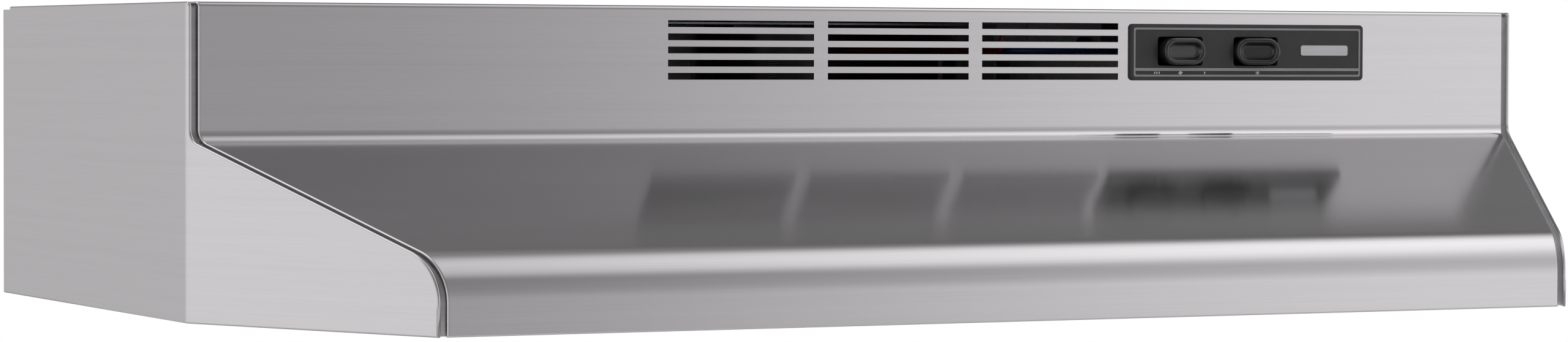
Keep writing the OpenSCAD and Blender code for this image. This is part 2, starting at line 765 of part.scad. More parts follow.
module lens_catch() {
    y = lamp_y - lens_w / 2;
    color(zinc) for (x = [-40, 30]) {
        block([lamp_x + x, y - 0.8, pan_top], [lamp_x + x + 10, y - 0.3, pan_top + 6]);
        block([lamp_x + x, y - 7, pan_top], [lamp_x + x + 10, y - 0.3, pan_top + 0.5]);
    }
}

// ---------- switches ----------
// Places a drawing so that its x runs across the hood, its y runs up and its z points at the cook.
module on_face(x, h) translate([x, face_y, rise(h)]) rotate([90, 0, 0]) children();

module stadium(l, h) {
    square([l - h, h], center = true);
    for (s = [-1, 1]) translate([s * (l - h) / 2, 0]) circle(d = h);
}
module rounded_plate(w, h, r, t) {
    linear_extrude(t) {
        square([w - 2 * r, h], center = true);
        square([w, h - 2 * r], center = true);
        for (sx = [-1, 1], sy = [-1, 1])
            translate([sx * (w / 2 - r), sy * (h / 2 - r)]) circle(r);
    }
}

module switch_plate() {
    color(dark) difference() {
        on_face(plate_x, plate_rise) rounded_plate(plate_w, plate_h, 2.2, plate_t);
        for (x = rocker_x) on_face(x, rocker_rise)
            translate([-rocker_l / 2 - 1, -rocker_h / 2 - 0.7, -1])
                cube([rocker_l + 2, rocker_h + 1.4, plate_t + 2]);
    }
}
module plate_badge() {
    color([0.80, 0.80, 0.82]) on_face(plate_x + 48, rocker_rise + 0.6)
        translate([0, 0, plate_t]) rounded_plate(30, 5.6, 1.2, 0.5);
}

module switch_case(x) {
    wall = 1.2;
    color(dark) on_face(x, rocker_rise) difference() {
        translate([-case_l / 2, -case_h / 2, -case_d]) cube([case_l, case_h, case_d]);
        translate([-case_l / 2 + wall, -case_h / 2 + wall, -case_d + wall])
            cube([case_l - 2 * wall, case_h - 2 * wall, case_d + 1]);
        translate([0, 0, face_y - pivot_y]) rotate([90, 0, 0])
            cylinder(r = 1.25, h = case_h + 2, center = true);
    }
}
module rocker(x, tilt) {
    // the paddle turns about its pivot pin, which stands upright behind the plate
    pin_l = case_h - 0.4;
    dish = 2.2;
    rim = 2.4;
    color(dark) translate([x, pivot_y, rise(rocker_rise)]) rotate([0, 0, tilt])
        rotate([90, 0, 0]) {
            difference() {
                translate([0, 0, -3.2]) linear_extrude(pivot_y - face_y + plate_t + rocker_proud + 3.2)
                    stadium(rocker_l, rocker_h);
                translate([0, 0, pivot_y - face_y + plate_t + rocker_proud - dish])
                    linear_extrude(dish + 1) stadium(rocker_l - 2 * rim, rocker_h - 2 * rim);
            }
            rotate([90, 0, 0]) cylinder(r = 1.2, h = pin_l, center = true);
        }
}
module switch_terminals() {
    color([0.80, 0.66, 0.36]) {
        for (dx = [-8, 0, 8]) terminal(rocker_x[0] + dx);
        for (dx = [-6, 6]) terminal(rocker_x[1] + dx);
    }
}
module terminal(x) on_face(x, rocker_rise) translate([-0.4, -3.2, -case_d - 8]) cube([0.8, 6.4, 8]);

// ---------- wiring ----------
module wiring_box() {
    hole_y = box_y1 - box_w / 2;
    color(zinc) difference() {
        union() {
            block([box_x0, box_y0, pan_top], [box_x1, box_y1, box_top]);
            block([box_x0 - 6, box_y0 - 6, pan_top], [box_x1 + 6, box_y1 - 14, pan_top + box_t]);
        }
        block([box_x0 + box_t, box_y0 + box_t, pan_top - 1],
            [box_x1 - box_t, box_y1 - box_t, box_top - box_t]);
        translate([entry_x, box_y1, rise(entry_rise)]) rotate([90, 0, 0])
            cylinder(r = knockout_r, h = 10, center = true);
        translate([entry_x, hole_y, -5]) cylinder(r = knockout_r, h = 10);
        translate([box_x0, bushing_y, rise(lead_rise)]) rotate([0, 90, 0])
            cylinder(r = bushing_r, h = 6, center = true);
        translate([box_x1, ground_y, rise(ground_rise)]) rotate([0, 90, 0])
            cylinder(r = 2, h = 6, center = true);
    }
}
module knockout_slug() {
    color(steel) translate([entry_x, box_y1 - box_w / 2, -sheet_t])
        cylinder(r = knockout_r - play, h = sheet_t);
}
module wiring_cover() {
    color(steel) difference() {
        block([box_x0 - 1, box_y0, pan_rise - 0.8], [box_x1 + 1, box_y1 - 2, pan_rise]);
        holes(cover_points, 1.9, pan_rise - 3, pan_rise + 3);
    }
}
module wiring_cover_screws() {
    color(zinc) for (p = cover_points) translate([p[0], p[1], rise(pan_rise - 0.8)])
        rotate([180, 0, 0]) screw(1.8, 0.8 + sheet_t, head_h = 2);
}
module ground_screw() {
    color([0.20, 0.55, 0.25]) translate([box_x1 - box_t, ground_y, rise(ground_rise)])
        rotate([0, -90, 0]) screw(2, box_t, head_h = 2.4, head_r = 4);
}

wire_r = 1.3;
spread = 2.9;                                 // half the distance between two wires
module wire_bushing() {
    color(dark) translate([box_x0, bushing_y, rise(lead_rise)]) rotate([0, 90, 0]) difference() {
        union() {
            translate([0, 0, -2.5]) cylinder(r = 8.5, h = 2.4);
            translate([0, 0, -2.5]) cylinder(r = bushing_r - 0.1, h = box_t + 5);
        }
        cylinder(r = bushing_r - 2, h = 20, center = true);
    }
}

// One straight length of wire from a to b, given as [x, y, height above the rim].
module straight(a, b) {
    v = b - a;
    translate([a[0], a[1], rise(a[2])])
        rotate([0, acos(v[2] / norm(v)), atan2(v[1], v[0])]) cylinder(r = wire_r, h = norm(v));
}
// A quarter turn at p from the direction u to the direction v.
module elbow(p, u, v, bend) {
    w = cross(u, v);
    c = p + bend * (v - u);
    multmatrix([[-v[0], u[0], w[0], c[0]], [-v[1], u[1], w[1], c[1]], [-v[2], u[2], w[2], rise(c[2])]])
        rotate_extrude(angle = 90) translate([bend, 0]) circle(wire_r);
}
function unit(v) = v / norm(v);
// A wire along square turns, each rounded to the bend radius.
module wire(points, bend = 5) {
    n = len(points);
    for (i = [0:n - 2]) {
        u = unit(points[i + 1] - points[i]);
        straight(points[i] + (i == 0 ? 0 : bend) * u, points[i + 1] - (i == n - 2 ? 0 : bend) * u);
        if (i < n - 2) elbow(points[i + 1], u, unit(points[i + 2] - points[i + 1]), bend);
    }
}

terminal_y = face_y + case_d + 8.1;
wz = lead_rise;
lead_end = motor_r - 4;                       // the motor leads end inside its housing
lane_x = rocker_x[0] - 11.5;                  // lanes for wires between the fan and the lamp
lamp_lane_x = rocker_x[0] - 17.5;
module wire_black_feed() {
    color([0.08, 0.08, 0.08]) {
        wire([[box_x0 + 12, bushing_y - spread, wz - 16], [box_x0 + 12, bushing_y - spread, wz],
            [lane_x, bushing_y - spread, wz], [lane_x, terminal_y + 13, wz],
            [rocker_x[0], terminal_y + 13, wz], [rocker_x[0], terminal_y, wz]]);
        wire([[rocker_x[0], terminal_y, wz - 3], [rocker_x[0], terminal_y + 12, wz - 3],
            [rocker_x[1] - 6, terminal_y + 12, wz - 3], [rocker_x[1] - 6, terminal_y, wz - 3]]);
    }
}
module wire_white_neutral() {
    color([0.88, 0.88, 0.86]) {
        wire([[box_x0 + 30, bushing_y + spread, wz - 16], [box_x0 + 30, bushing_y + spread, wz],
            [motor_r + 58, bushing_y + spread, wz], [motor_r + 58, fan_y + 3.2, wz],
            [lead_end, fan_y + 3.2, wz]]);
        wire([[box_x0 + 35, bushing_y, wz - 16], [box_x0 + 35, bushing_y, wz + 2.7],
            [lamp_lane_x, bushing_y, wz + 2.7], [lamp_lane_x, bushing_y, bulb_rise],
            [lamp_lane_x, lamp_y + 2.3, bulb_rise], [lamp_x0 + 3.3, lamp_y + 2.3, bulb_rise]]);
    }
}
module wire_blue_high() {
    color([0.16, 0.28, 0.62]) wire([[rocker_x[0] - 8, terminal_y, wz],
        [rocker_x[0] - 8, terminal_y + 7, wz], [motor_r + 48, terminal_y + 7, wz],
        [motor_r + 48, fan_y, wz], [lead_end, fan_y, wz]]);
}
module wire_red_low() {
    up = wz + 10.4;                           // it passes over the blue and black wires
    color([0.70, 0.12, 0.12]) wire([[rocker_x[0] + 8, terminal_y, wz],
        [rocker_x[0] + 8, terminal_y + 7, wz], [rocker_x[0] + 8, terminal_y + 7, up],
        [motor_r + 42, terminal_y + 7, up], [motor_r + 42, terminal_y + 7, wz],
        [motor_r + 42, fan_y - 3.2, wz], [lead_end, fan_y - 3.2, wz]], 4);
}
module wire_lamp_feed() {
    color([0.08, 0.08, 0.08]) wire([[rocker_x[1] + 6, terminal_y, wz],
        [rocker_x[1] + 6, terminal_y + 16, wz], [rocker_x[1] + 6, terminal_y + 16, bulb_rise],
        [lamp_lane_x, terminal_y + 16, bulb_rise], [lamp_lane_x, lamp_y - 2.3, bulb_rise],
        [lamp_x0 + 3.3, lamp_y - 2.3, bulb_rise]]);
}
module wire_green_ground() {
    x = box_x1 - box_t - wire_r - 0.4;
    color([0.15, 0.50, 0.22]) wire([[x, ground_y + 4.2, ground_rise], [x, ground_y + 23, ground_rise],
        [x - 23, ground_y + 23, ground_rise], [x - 23, ground_y + 23, ground_rise + 26]]);
}
module wire_nuts() {
    color([0.80, 0.45, 0.12]) {
        nut(box_x0 + 12, bushing_y - spread, wz - 16);
        nut(box_x0 + 32.5, bushing_y + spread / 2, wz - 16);
        nut(box_x1 - box_t - wire_r - 23.4, ground_y + 23, ground_rise + 26, upright = true);
    }
}
// A twist connector below the wire ends at height h, or above them.
module nut(x, y, h, upright = false) translate([x, y, rise(h)]) mirror([0, 0, upright ? 0 : 1])
    translate([0, 0, play]) cylinder(r1 = 5, r2 = 3.4, h = 17);

canopy_sheet();
side_panel(-1);  // side_panel_left
side_panel(1);  // side_panel_right
back_panel();
bottom_pan();
filter_frame();
filter_mesh_lower();
filter_mesh_upper();
charcoal_pad();
filter_pull_tab();
filter_ledge();
filter_springs();
fan_shroud();
motor_bracket();
motor_housing();
motor_end_bell();
motor_stator();
motor_coils();
motor_rotor();
motor_shaft();
motor_bushes();
motor_grommets();
motor_studs();
motor_nuts();
fan_blades();
blade_clip();
lamp_housing();
lamp_socket();
socket_shell();
socket_bracket();
bulb_glass();
bulb_cap();
light_lens();
lens_catch();
switch_plate();
plate_badge();
switch_case(rocker_x[0]);  // fan_switch_case
switch_case(rocker_x[1]);  // light_switch_case
rocker(rocker_x[0], 0);  // fan_rocker
rocker(rocker_x[1], -rocker_tilt);  // light_rocker
switch_terminals();
wiring_box();
wiring_cover();
wiring_cover_screws();
knockout_slug();
ground_screw();
wire_bushing();
wire_nuts();
wire_black_feed();
wire_white_neutral();
wire_blue_high();
wire_red_low();
wire_lamp_feed();
wire_green_ground();
pan_screws();
shroud_screws();
bracket_screws();
lamp_screws();
ledge_rivets();
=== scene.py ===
"""Looks of the under cabinet range hood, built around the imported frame.

Lengths here are millimetres. x runs to the right, y towards the wall, and a height is measured above the rim.
at() turns them into the frame's metres, where the top face is z = 0 and the wall is y = 0.
"""
import json
import math

import bmesh
import bpy
from mathutils import Matrix, Vector


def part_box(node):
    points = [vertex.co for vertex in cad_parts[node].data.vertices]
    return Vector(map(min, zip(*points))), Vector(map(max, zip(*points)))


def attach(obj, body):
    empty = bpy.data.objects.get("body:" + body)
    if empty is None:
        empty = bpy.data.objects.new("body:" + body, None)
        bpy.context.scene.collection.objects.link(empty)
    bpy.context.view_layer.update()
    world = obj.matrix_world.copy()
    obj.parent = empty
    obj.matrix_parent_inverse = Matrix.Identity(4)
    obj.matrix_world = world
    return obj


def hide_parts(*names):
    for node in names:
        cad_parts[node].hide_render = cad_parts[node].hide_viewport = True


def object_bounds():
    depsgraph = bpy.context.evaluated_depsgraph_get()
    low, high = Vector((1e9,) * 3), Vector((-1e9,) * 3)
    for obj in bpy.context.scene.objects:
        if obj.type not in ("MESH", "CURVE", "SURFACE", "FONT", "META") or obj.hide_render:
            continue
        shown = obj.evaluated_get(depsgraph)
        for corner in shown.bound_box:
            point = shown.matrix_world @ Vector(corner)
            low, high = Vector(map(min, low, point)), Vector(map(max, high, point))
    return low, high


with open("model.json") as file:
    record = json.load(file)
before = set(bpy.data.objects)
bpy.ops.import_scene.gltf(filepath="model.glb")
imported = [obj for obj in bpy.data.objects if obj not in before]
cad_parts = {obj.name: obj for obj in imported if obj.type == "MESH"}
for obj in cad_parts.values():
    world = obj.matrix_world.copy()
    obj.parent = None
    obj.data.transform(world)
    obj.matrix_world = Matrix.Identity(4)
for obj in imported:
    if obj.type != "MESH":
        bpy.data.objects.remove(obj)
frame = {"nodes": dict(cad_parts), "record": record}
cad_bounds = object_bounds()
nodes = frame["nodes"]
slot_of = {part["node"]: part["material_slot"] for part in frame["record"]["subparts"]}
body_of = {node: body for body, members in frame["record"]["behaviour"]["bodies"].items() for node in members}

# ---------- sizes, as in the CAD source ----------
MM = 0.001
HOOD_W = (cad_bounds[1][0] - cad_bounds[0][0]) / MM
HOOD_D = -cad_bounds[0][1] / MM
HOOD_H = -cad_bounds[0][2] / MM
BOX_D = 300
LIP_W = 624
CREASE_RISE = 87
LIP_RISE = 32.8
TOP_BEND_R = 2.4
CREASE_BEND_R = 7
LIP_BEND_R = 25
SHEET = 0.8
HEM = 2 * SHEET
FOLD_Y = -BOX_D + 2
SEAM_I = HEM + 3
SIDE_HEM = 9
EDGE_HEM = 8
RIM_HEM = 11
FLANGE_W = 14
FLANGE_DEPTH = HEM + 0.1
CHANNEL = 2.9
MITRE = math.atan((HOOD_W - LIP_W) / 2 / (HOOD_D + FOLD_Y))
SLOPE = math.atan((CREASE_RISE - LIP_RISE) / (HOOD_D - BOX_D))


def at(x, y, h):
    """A point in the frame's metres."""
    return Vector((x, y, h - HOOD_H)) * MM


def node_box(name):
    """A CAD node's least and greatest corners as (x, y, height)."""
    lo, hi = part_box(name)
    return [Vector((p.x / MM, p.y / MM, p.z / MM + HOOD_H)) for p in (lo, hi)]


# ---------- camera, light and floor ----------
def look_frame(yaw, pitch, roll):
    """Camera axes for a yaw towards +X, a pitch and a roll, in degrees."""
    yaw, pitch, roll = (math.radians(a) for a in (yaw, pitch, roll))
    ahead = Vector((math.sin(yaw) * math.cos(pitch), math.cos(yaw) * math.cos(pitch), math.sin(pitch)))
    right = Vector((math.cos(yaw), -math.sin(yaw), 0))
    up = right.cross(ahead)
    x_axis = math.cos(roll) * right + math.sin(roll) * up
    y_axis = -math.sin(roll) * right + math.cos(roll) * up
    return Matrix((x_axis, y_axis, -ahead)).transposed()


def add_camera():
    data = bpy.data.cameras.new("camera")
    data.lens = 101.08
    data.sensor_width = 36
    data.clip_end = 100
    camera = bpy.data.objects.new("camera", data)
    camera.matrix_world = Matrix.Translation((-1.0590, -2.2868, -0.0245)) @ look_frame(
        26.569, -1.507, 0.174).to_4x4()
    bpy.context.scene.collection.objects.link(camera)
    bpy.context.scene.camera = camera


class Graph:
    """Short calls for making shader nodes and linking them."""

    def __init__(self, tree):
        self.nodes = tree.nodes
        self.links = tree.links
        self.nodes.clear()

    def add(self, kind, inputs=None, **settings):
        node = self.nodes.new(kind)
        for key, value in settings.items():
            setattr(node, key, value)
        for key, value in (inputs or {}).items():
            self.put(node.inputs[key], value)
        return node

    def put(self, socket, value):
        if isinstance(value, bpy.types.NodeSocket):
            self.links.new(value, socket)
        else:
            socket.default_value = value

    def math(self, operation, a, b=0.0, c=0.0):
        node = self.add("ShaderNodeMath", {0: a, 1: b, 2: c}, operation=operation)
        return node.outputs[0]

    def ramp(self, factor, stops, interpolation="LINEAR"):
        node = self.add("ShaderNodeValToRGB", {0: factor})
        points = node.color_ramp
        points.interpolation = interpolation
        while len(points.elements) < len(stops):
            points.elements.new(0.5)
        for element, (place, colour) in zip(points.elements, stops):
            element.position = place
            element.color = colour if isinstance(colour, tuple) else (colour, colour, colour, 1)
        return node.outputs[0]

    def mix(self, factor, a, b):
        node = self.add("ShaderNodeMix", data_type="RGBA")
        for socket, value in ((node.inputs[0], factor), (node.inputs[6], a), (node.inputs[7], b)):
            self.put(socket, value if isinstance(value, (bpy.types.NodeSocket, float)) else tuple(value))
        return node.outputs[2]


# Where the softboxes hang: a direction, the cosines where they begin and are full, and how bright they are.
SOFTBOXES = (((0.64, -0.16, 0.76), 0.84, 1.0, 0.45), ((-0.55, 0.15, 0.82), 0.88, 0.99, 0.9))


def spread(places, scale=1.0):
    """Ramp stops for a level at each direction component, which runs from -1 to 1."""
    return [((place + 1) / 2, level * scale) for place, level in places]


def add_world():
    """A studio that is white to the camera and a soft, uneven grey to everything else."""
    world = bpy.data.worlds.new("studio")
    bpy.context.scene.world = world
    world.use_nodes = True
    g = Graph(world.node_tree)
    direction = g.add("ShaderNodeSeparateXYZ", {0: g.add("ShaderNodeTexCoord").outputs["Generated"]})
    x, y, z = direction.outputs
    half = 0.5
    across = g.math("MULTIPLY_ADD", x, 0.5, 0.5)
    upward = g.math("MULTIPLY_ADD", z, 0.5, 0.5)
    front = g.ramp(across, spread([(-1, 1.0), (-0.4, 0.48), (0.1, 0.36), (0.34, 0.48), (0.6, 1.05), (1, 1.2)],
        half), "EASE")
    back = g.ramp(across, spread([(-1, 1.05), (-0.9, 1.0), (-0.45, 0.70), (0.1, 0.40), (0.5, 0.30), (1, 0.6)],
        half), "EASE")
    lift = g.ramp(upward, spread([(-1, 0.5), (0, 1.0), (0.4, 0.7), (0.65, 0.6), (0.85, 1.0), (1, 1.2)],
        half), "EASE")
    facing = g.add("ShaderNodeMapRange", {0: y, 1: 0.05, 2: 0.45}, interpolation_type="SMOOTHSTEP").outputs[0]
    level = g.mix(facing, front, back)
    level = g.math("MULTIPLY", g.math("MULTIPLY", level, 1 / half), g.math("MULTIPLY", lift, 1 / half))
    for axis, edge, full, strength in SOFTBOXES:
        toward = g.add("ShaderNodeVectorMath", {0: g.add("ShaderNodeTexCoord").outputs["Generated"],
            1: Vector(axis).normalized()}, operation="DOT_PRODUCT").outputs["Value"]
        patch = g.add("ShaderNodeMapRange", {0: toward, 1: edge, 2: full, 3: 0.0, 4: strength},
            interpolation_type="SMOOTHSTEP").outputs[0]
        level = g.math("ADD", level, patch)
    glow = g.add("ShaderNodeBackground", {0: (1.0, 0.985, 0.995, 1), 1: level})
    white = g.add("ShaderNodeBackground", {0: (1, 1, 1, 1), 1: 1.0})
    seen = g.add("ShaderNodeLightPath").outputs["Is Camera Ray"]
    both = g.add("ShaderNodeMixShader", {0: seen, 1: glow.outputs[0], 2: white.outputs[0]})
    g.add("ShaderNodeOutputWorld", {0: both.outputs[0]})
    bpy.context.scene.view_settings.view_transform = "Standard"


def add_lamp(name, place, target, width, height, watts):
    data = bpy.data.lights.new(name, "AREA")
    data.shape = "RECTANGLE"
    data.size = width
    data.size_y = height
    data.energy = watts
    lamp = bpy.data.objects.new(name, data)
    ahead = (Vector(target) - Vector(place)).normalized()
    lamp.visible_glossy = False
    lamp.matrix_world = Matrix.Translation(place) @ ahead.to_track_quat("-Z", "Y").to_matrix().to_4x4()
    bpy.context.scene.collection.objects.link(lamp)


def add_floor():
    mesh = bpy.data.meshes.new("floor")
    bm = bmesh.new()
    bmesh.ops.create_circle(bm, cap_ends=True, segments=96, radius=3.2,
        matrix=Matrix.Translation((0, -0.2, -0.62)))
    bm.to_mesh(mesh)
    floor = bpy.data.objects.new("floor", mesh)
    bpy.context.scene.collection.objects.link(floor)
    material = bpy.data.materials.new("floor")
    material.use_nodes = True
    g = Graph(material.node_tree)
    speck = g.add("ShaderNodeTexNoise", {"Scale": 40.0, "Detail": 4.0}).outputs[0]
    colour = g.ramp(speck, [(0.3, 0.80), (0.7, 0.84)])
    surface = g.add("ShaderNodeBsdfPrincipled", {"Base Color": colour, "Roughness": 0.6})
    g.add("ShaderNodeOutputMaterial", {0: surface.outputs[0]})
    mesh.materials.append(material)


# ---------- materials ----------
materials = {}


def material(slot, base, rough, metal=0.0, bump=None, shift=None, **constants):
    """A principled material. base and rough may be functions of the graph, bump is (height, distance in mm)."""
    if slot in materials:
        return materials[slot]
    made = bpy.data.materials.new(slot + "_finish")
    made.use_nodes = True
    g = Graph(made.node_tree)
    surface = g.add("ShaderNodeBsdfPrincipled", {"Metallic": metal})
    for key, value in (("Base Color", base), ("Roughness", rough)):
        value = value(g) if callable(value) else value
        g.put(surface.inputs[key], (*value, 1) if isinstance(value, (tuple, list)) else value)
    if bump:
        height, distance = bump
        g.put(surface.inputs["Normal"], g.add("ShaderNodeBump", {"Height": height(g), "Distance": distance * MM,
            "Strength": 1.0}).outputs[0])
    for key, value in constants.items():
        surface.inputs[key.replace("_", " ")].default_value = value
    if shift:
        shift(g, surface)
    g.add("ShaderNodeOutputMaterial", {0: surface.outputs[0]})
    materials[slot] = made
    return made


def place(g, scale=(1, 1, 1), uv=False, turn=(0, 0, 0)):
    """Object coordinates, or the UV map's metres, scaled to repeats per metre."""
    source = g.add("ShaderNodeTexCoord").outputs["UV" if uv else "Object"]
    return g.add("ShaderNodeMapping", {"Vector": source, "Scale": scale, "Rotation": turn}).outputs[0]


def noise(g, scale, detail=3.0, vector=None, rough=0.5):
    inputs = {"Scale": scale, "Detail": detail, "Roughness": rough}
    inputs["Vector"] = vector if vector is not None else place(g)
    return g.add("ShaderNodeTexNoise", inputs).outputs[0]


def tint(colour, spread_by):
    """A base colour that wanders a little to each side of colour."""
    def make(g, scale=60.0, vector=None):
        low = tuple(c * (1 - spread_by) for c in colour) + (1,)
        high = tuple(min(1, c * (1 + spread_by)) for c in colour) + (1,)
        return g.ramp(noise(g, scale, 4.0, vector), [(0.3, low), (0.7, high)])
    return make


def level(low, high, scale=80.0, detail=4.0):
    """A roughness that wanders between two levels."""
    return lambda g: g.ramp(noise(g, scale, detail), [(0.3, low), (0.7, high)])


def brushed(slot, colour, grain, rough, uv, streak=0.05, anisotropy=0.7, ridge=0.003):
    """Brushed metal whose grain runs along the first of the coordinates that grain scales least."""
    def streaks(g, factor=1.0, detail=2.0):
        return noise(g, 1.0, detail, place(g, tuple(s * factor for s in grain), uv))

    def base(g):
        fine = streaks(g)
        broad = streaks(g, 0.08)
        both = g.math("MULTIPLY_ADD", broad, 0.5, g.math("MULTIPLY", fine, 0.5))
        low = tuple(c * (1 - streak) for c in colour) + (1,)
        high = tuple(min(1, c * (1 + streak)) for c in colour) + (1,)
        return g.ramp(both, [(0.32, low), (0.68, high)])

    def roughness(g):
        return g.ramp(streaks(g, 0.6), [(0.3, rough * 0.88), (0.7, rough * 1.12)])

    made = material(slot, base, roughness, 1.0, bump=(lambda g: streaks(g, 1.0, 1.0), ridge),
        Anisotropic=anisotropy, Anisotropic_Rotation=0.25)
    if uv:
        g = made.node_tree
        tangent = g.nodes.new("ShaderNodeTangent")
        tangent.direction_type = "UV_MAP"
        shader = next(n for n in g.nodes if n.bl_idname == "ShaderNodeBsdfPrincipled")
        g.links.new(tangent.outputs[0], shader.inputs["Tangent"])
    return made


STAINLESS = (0.600, 0.592, 0.600)


def make_materials():
    brushed("stainless", STAINLESS, (9, 2400, 1), 0.135, uv=True, anisotropy=0.8, streak=0.03, ridge=0.0004)
    # The flange channels get their own copies of the steel, both rougher than the stainless: a darker one,
    # painted shade in the left seam's groove, and a lighter one, a painted highlight along the right seam.
    brushed("painted_shade_seam_steel", (0.42, 0.42, 0.425), (9, 2400, 1), 0.35, uv=True, anisotropy=0.5, streak=0.1)
    brushed("back_steel", STAINLESS, (9, 2400, 2400), 0.2, uv=False, anisotropy=0.0)
    brushed("painted_highlight_seam_steel", (0.92, 0.92, 0.93), (9, 2400, 1), 0.55, uv=True, anisotropy=0.2, streak=0.05)
    brushed("line_grey", (0.30, 0.30, 0.305), (90, 3000, 3000), 0.5, uv=False, anisotropy=0.0)
    brushed("pan_steel", (0.56, 0.56, 0.565), (16, 1500, 1500), 0.30, uv=False, anisotropy=0.0)
    brushed("filter_alloy", (0.72, 0.73, 0.74), (30, 900, 900), 0.34, uv=False, anisotropy=0.0)
    brushed("blade_alloy", (0.70, 0.71, 0.72), (60, 900, 900), 0.32, uv=False, anisotropy=0.0)
    brushed("badge_satin", (0.50, 0.50, 0.51), (90, 3000, 3000), 0.42, uv=False, anisotropy=0.0)
    brushed("spring_steel", (0.52, 0.53, 0.55), (60, 1500, 1500), 0.28, uv=False, anisotropy=0.0)

    def granules(g):
        cells = g.add("ShaderNodeTexVoronoi", {"Vector": place(g), "Scale": 520.0}).outputs["Distance"]
        return g.math("SUBTRACT", 1.0, cells)
    material("charcoal", lambda g: g.ramp(granules(g), [(0.2, (0.004, 0.004, 0.005, 1)),
        (0.9, (0.035, 0.035, 0.040, 1))]), level(0.5, 0.85, 700.0), bump=(granules, 1.2))

    def spangle(g):
        vector = place(g)
        bent = g.add("ShaderNodeVectorMath", {0: vector, 1: noise(g, 90.0)}, operation="ADD").outputs[0]
        return g.add("ShaderNodeTexVoronoi", {"Vector": bent, "Scale": 95.0}).outputs["Color"]
    material("zinc_plate", lambda g: g.mix(g.ramp(spangle(g), [(0.2, 0.0), (0.8, 1.0)]),
        (0.50, 0.52, 0.54, 1), (0.68, 0.70, 0.72, 1)),
        lambda g: g.ramp(spangle(g), [(0.1, 0.32), (0.9, 0.50)]),
        0.9, bump=(lambda g: noise(g, 300.0, 2.0), 0.02))

    peel = (lambda g: noise(g, 900.0, 2.0), 0.03)
    material("motor_paint", tint((0.030, 0.030, 0.033), 0.2), level(0.28, 0.42), bump=peel)
    material("lamp_white", tint((0.80, 0.80, 0.78), 0.03), level(0.25, 0.35), bump=peel)

    def laminae(g):
        return g.add("ShaderNodeTexWave", {"Vector": place(g), "Scale": 320.0, "Distortion": 0.6},
            bands_direction="Z").outputs[0]
    material("lamination", lambda g: g.ramp(laminae(g), [(0.2, (0.08, 0.08, 0.085, 1)),
        (0.8, (0.34, 0.35, 0.37, 1))]), level(0.35, 0.55), 1.0, bump=(laminae, 0.15))

    def turns(g):
        return g.add("ShaderNodeTexWave", {"Vector": place(g), "Scale": 300.0, "Distortion": 1.5},
            wave_type="RINGS", rings_direction="Z").outputs[0]
    material("copper_wire", lambda g: g.ramp(turns(g), [(0.1, (0.20, 0.05, 0.015, 1)),
        (0.8, (0.62, 0.24, 0.09, 1))]), level(0.22, 0.34), 0.9, bump=(turns, 0.3))
    material("ground_steel", tint((0.66, 0.66, 0.67), 0.04), level(0.12, 0.2, 400.0), 1.0)
    material("bronze", tint((0.46, 0.30, 0.13), 0.15), level(0.35, 0.5, 600.0), 1.0,
        bump=(lambda g: noise(g, 2500.0, 1.0), 0.02))
    material("black_rubber", tint((0.018, 0.018, 0.019), 0.2), level(0.6, 0.8), bump=peel)
    material("socket_ceramic", tint((0.80, 0.78, 0.73), 0.03), level(0.08, 0.16), Coat_Weight=0.5,
        Coat_Roughness=0.05)
    material("brass_shell", tint((0.68, 0.47, 0.18), 0.08), level(0.2, 0.34, 200.0), 1.0)
    material("frosted_glass", tint((0.94, 0.93, 0.90), 0.01), level(0.3, 0.42, 300.0), Subsurface_Weight=0.0,
        Transmission_Weight=0.35)
    material("cap_alloy", tint((0.70, 0.70, 0.71), 0.05), level(0.22, 0.34, 300.0), 1.0)
    material("lens_plastic", tint((0.88, 0.89, 0.87), 0.02), level(0.16, 0.26), Transmission_Weight=0.45,
        bump=(lambda g: noise(g, 500.0, 1.0), 0.02))
    grainy = (lambda g: noise(g, 3200.0, 2.0), 0.02)
    material("plate_plastic", tint((0.026, 0.026, 0.027), 0.12), level(0.42, 0.52, 300.0), bump=grainy)
    material("switch_plastic", tint((0.022, 0.022, 0.023), 0.15), level(0.5, 0.6), bump=grainy)
    material("rocker_plastic", tint((0.014, 0.014, 0.015), 0.15), level(0.12, 0.2, 200.0), Coat_Weight=0.4,
        Coat_Roughness=0.08)
    material("screw_steel", tint((0.62, 0.63, 0.65), 0.06), level(0.2, 0.32, 300.0), 1.0)
    material("ground_green", tint((0.03, 0.22, 0.06), 0.1), level(0.25, 0.35, 300.0), 0.4)
    for slot, colour in (("nut_orange", (0.70, 0.24, 0.03)), ("wire_black", (0.018, 0.018, 0.018)),
            ("wire_white", (0.78, 0.78, 0.76)), ("wire_blue", (0.012, 0.030, 0.14)),
            ("wire_red", (0.17, 0.010, 0.010)), ("wire_green", (0.02, 0.24, 0.05))):
        material(slot, tint(colour, 0.08), level(0.32, 0.45, 200.0), bump=peel)


# ---------- building pieces ----------
def new_piece(name, bm, slot, body, replaces=(), smooth=True):
    """Turns a bmesh in metres into an object that rides on a body and stands for the named CAD nodes."""
    bmesh.ops.recalc_face_normals(bm, faces=bm.faces)
    mesh = bpy.data.meshes.new(name)
    bm.to_mesh(mesh)
    bm.free()
    for face in mesh.polygons:
        face.use_smooth = smooth
    mesh.materials.append(materials[slot])
    piece = bpy.data.objects.new(name, mesh)
    bpy.context.scene.collection.objects.link(piece)
    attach(piece, body)
    if replaces:
        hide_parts(*replaces)
    return piece


def round_edges(piece, width, segments=2, angle=35, weld=False):
    """Rounds the sharp edges by width in millimetres and evens out the shading."""
    if weld:
        piece.modifiers.new("weld", "WELD").merge_threshold = 0.00001
    bevel = piece.modifiers.new("bevel", "BEVEL")
    bevel.width = width * MM
    bevel.segments = segments
    bevel.limit_method = "ANGLE"
    bevel.angle_limit = math.radians(angle)
    bevel.miter_outer = "MITER_ARC"
    bevel.use_clamp_overlap = True
    even = piece.modifiers.new("even", "WEIGHTED_NORMAL")
    even.keep_sharp = True


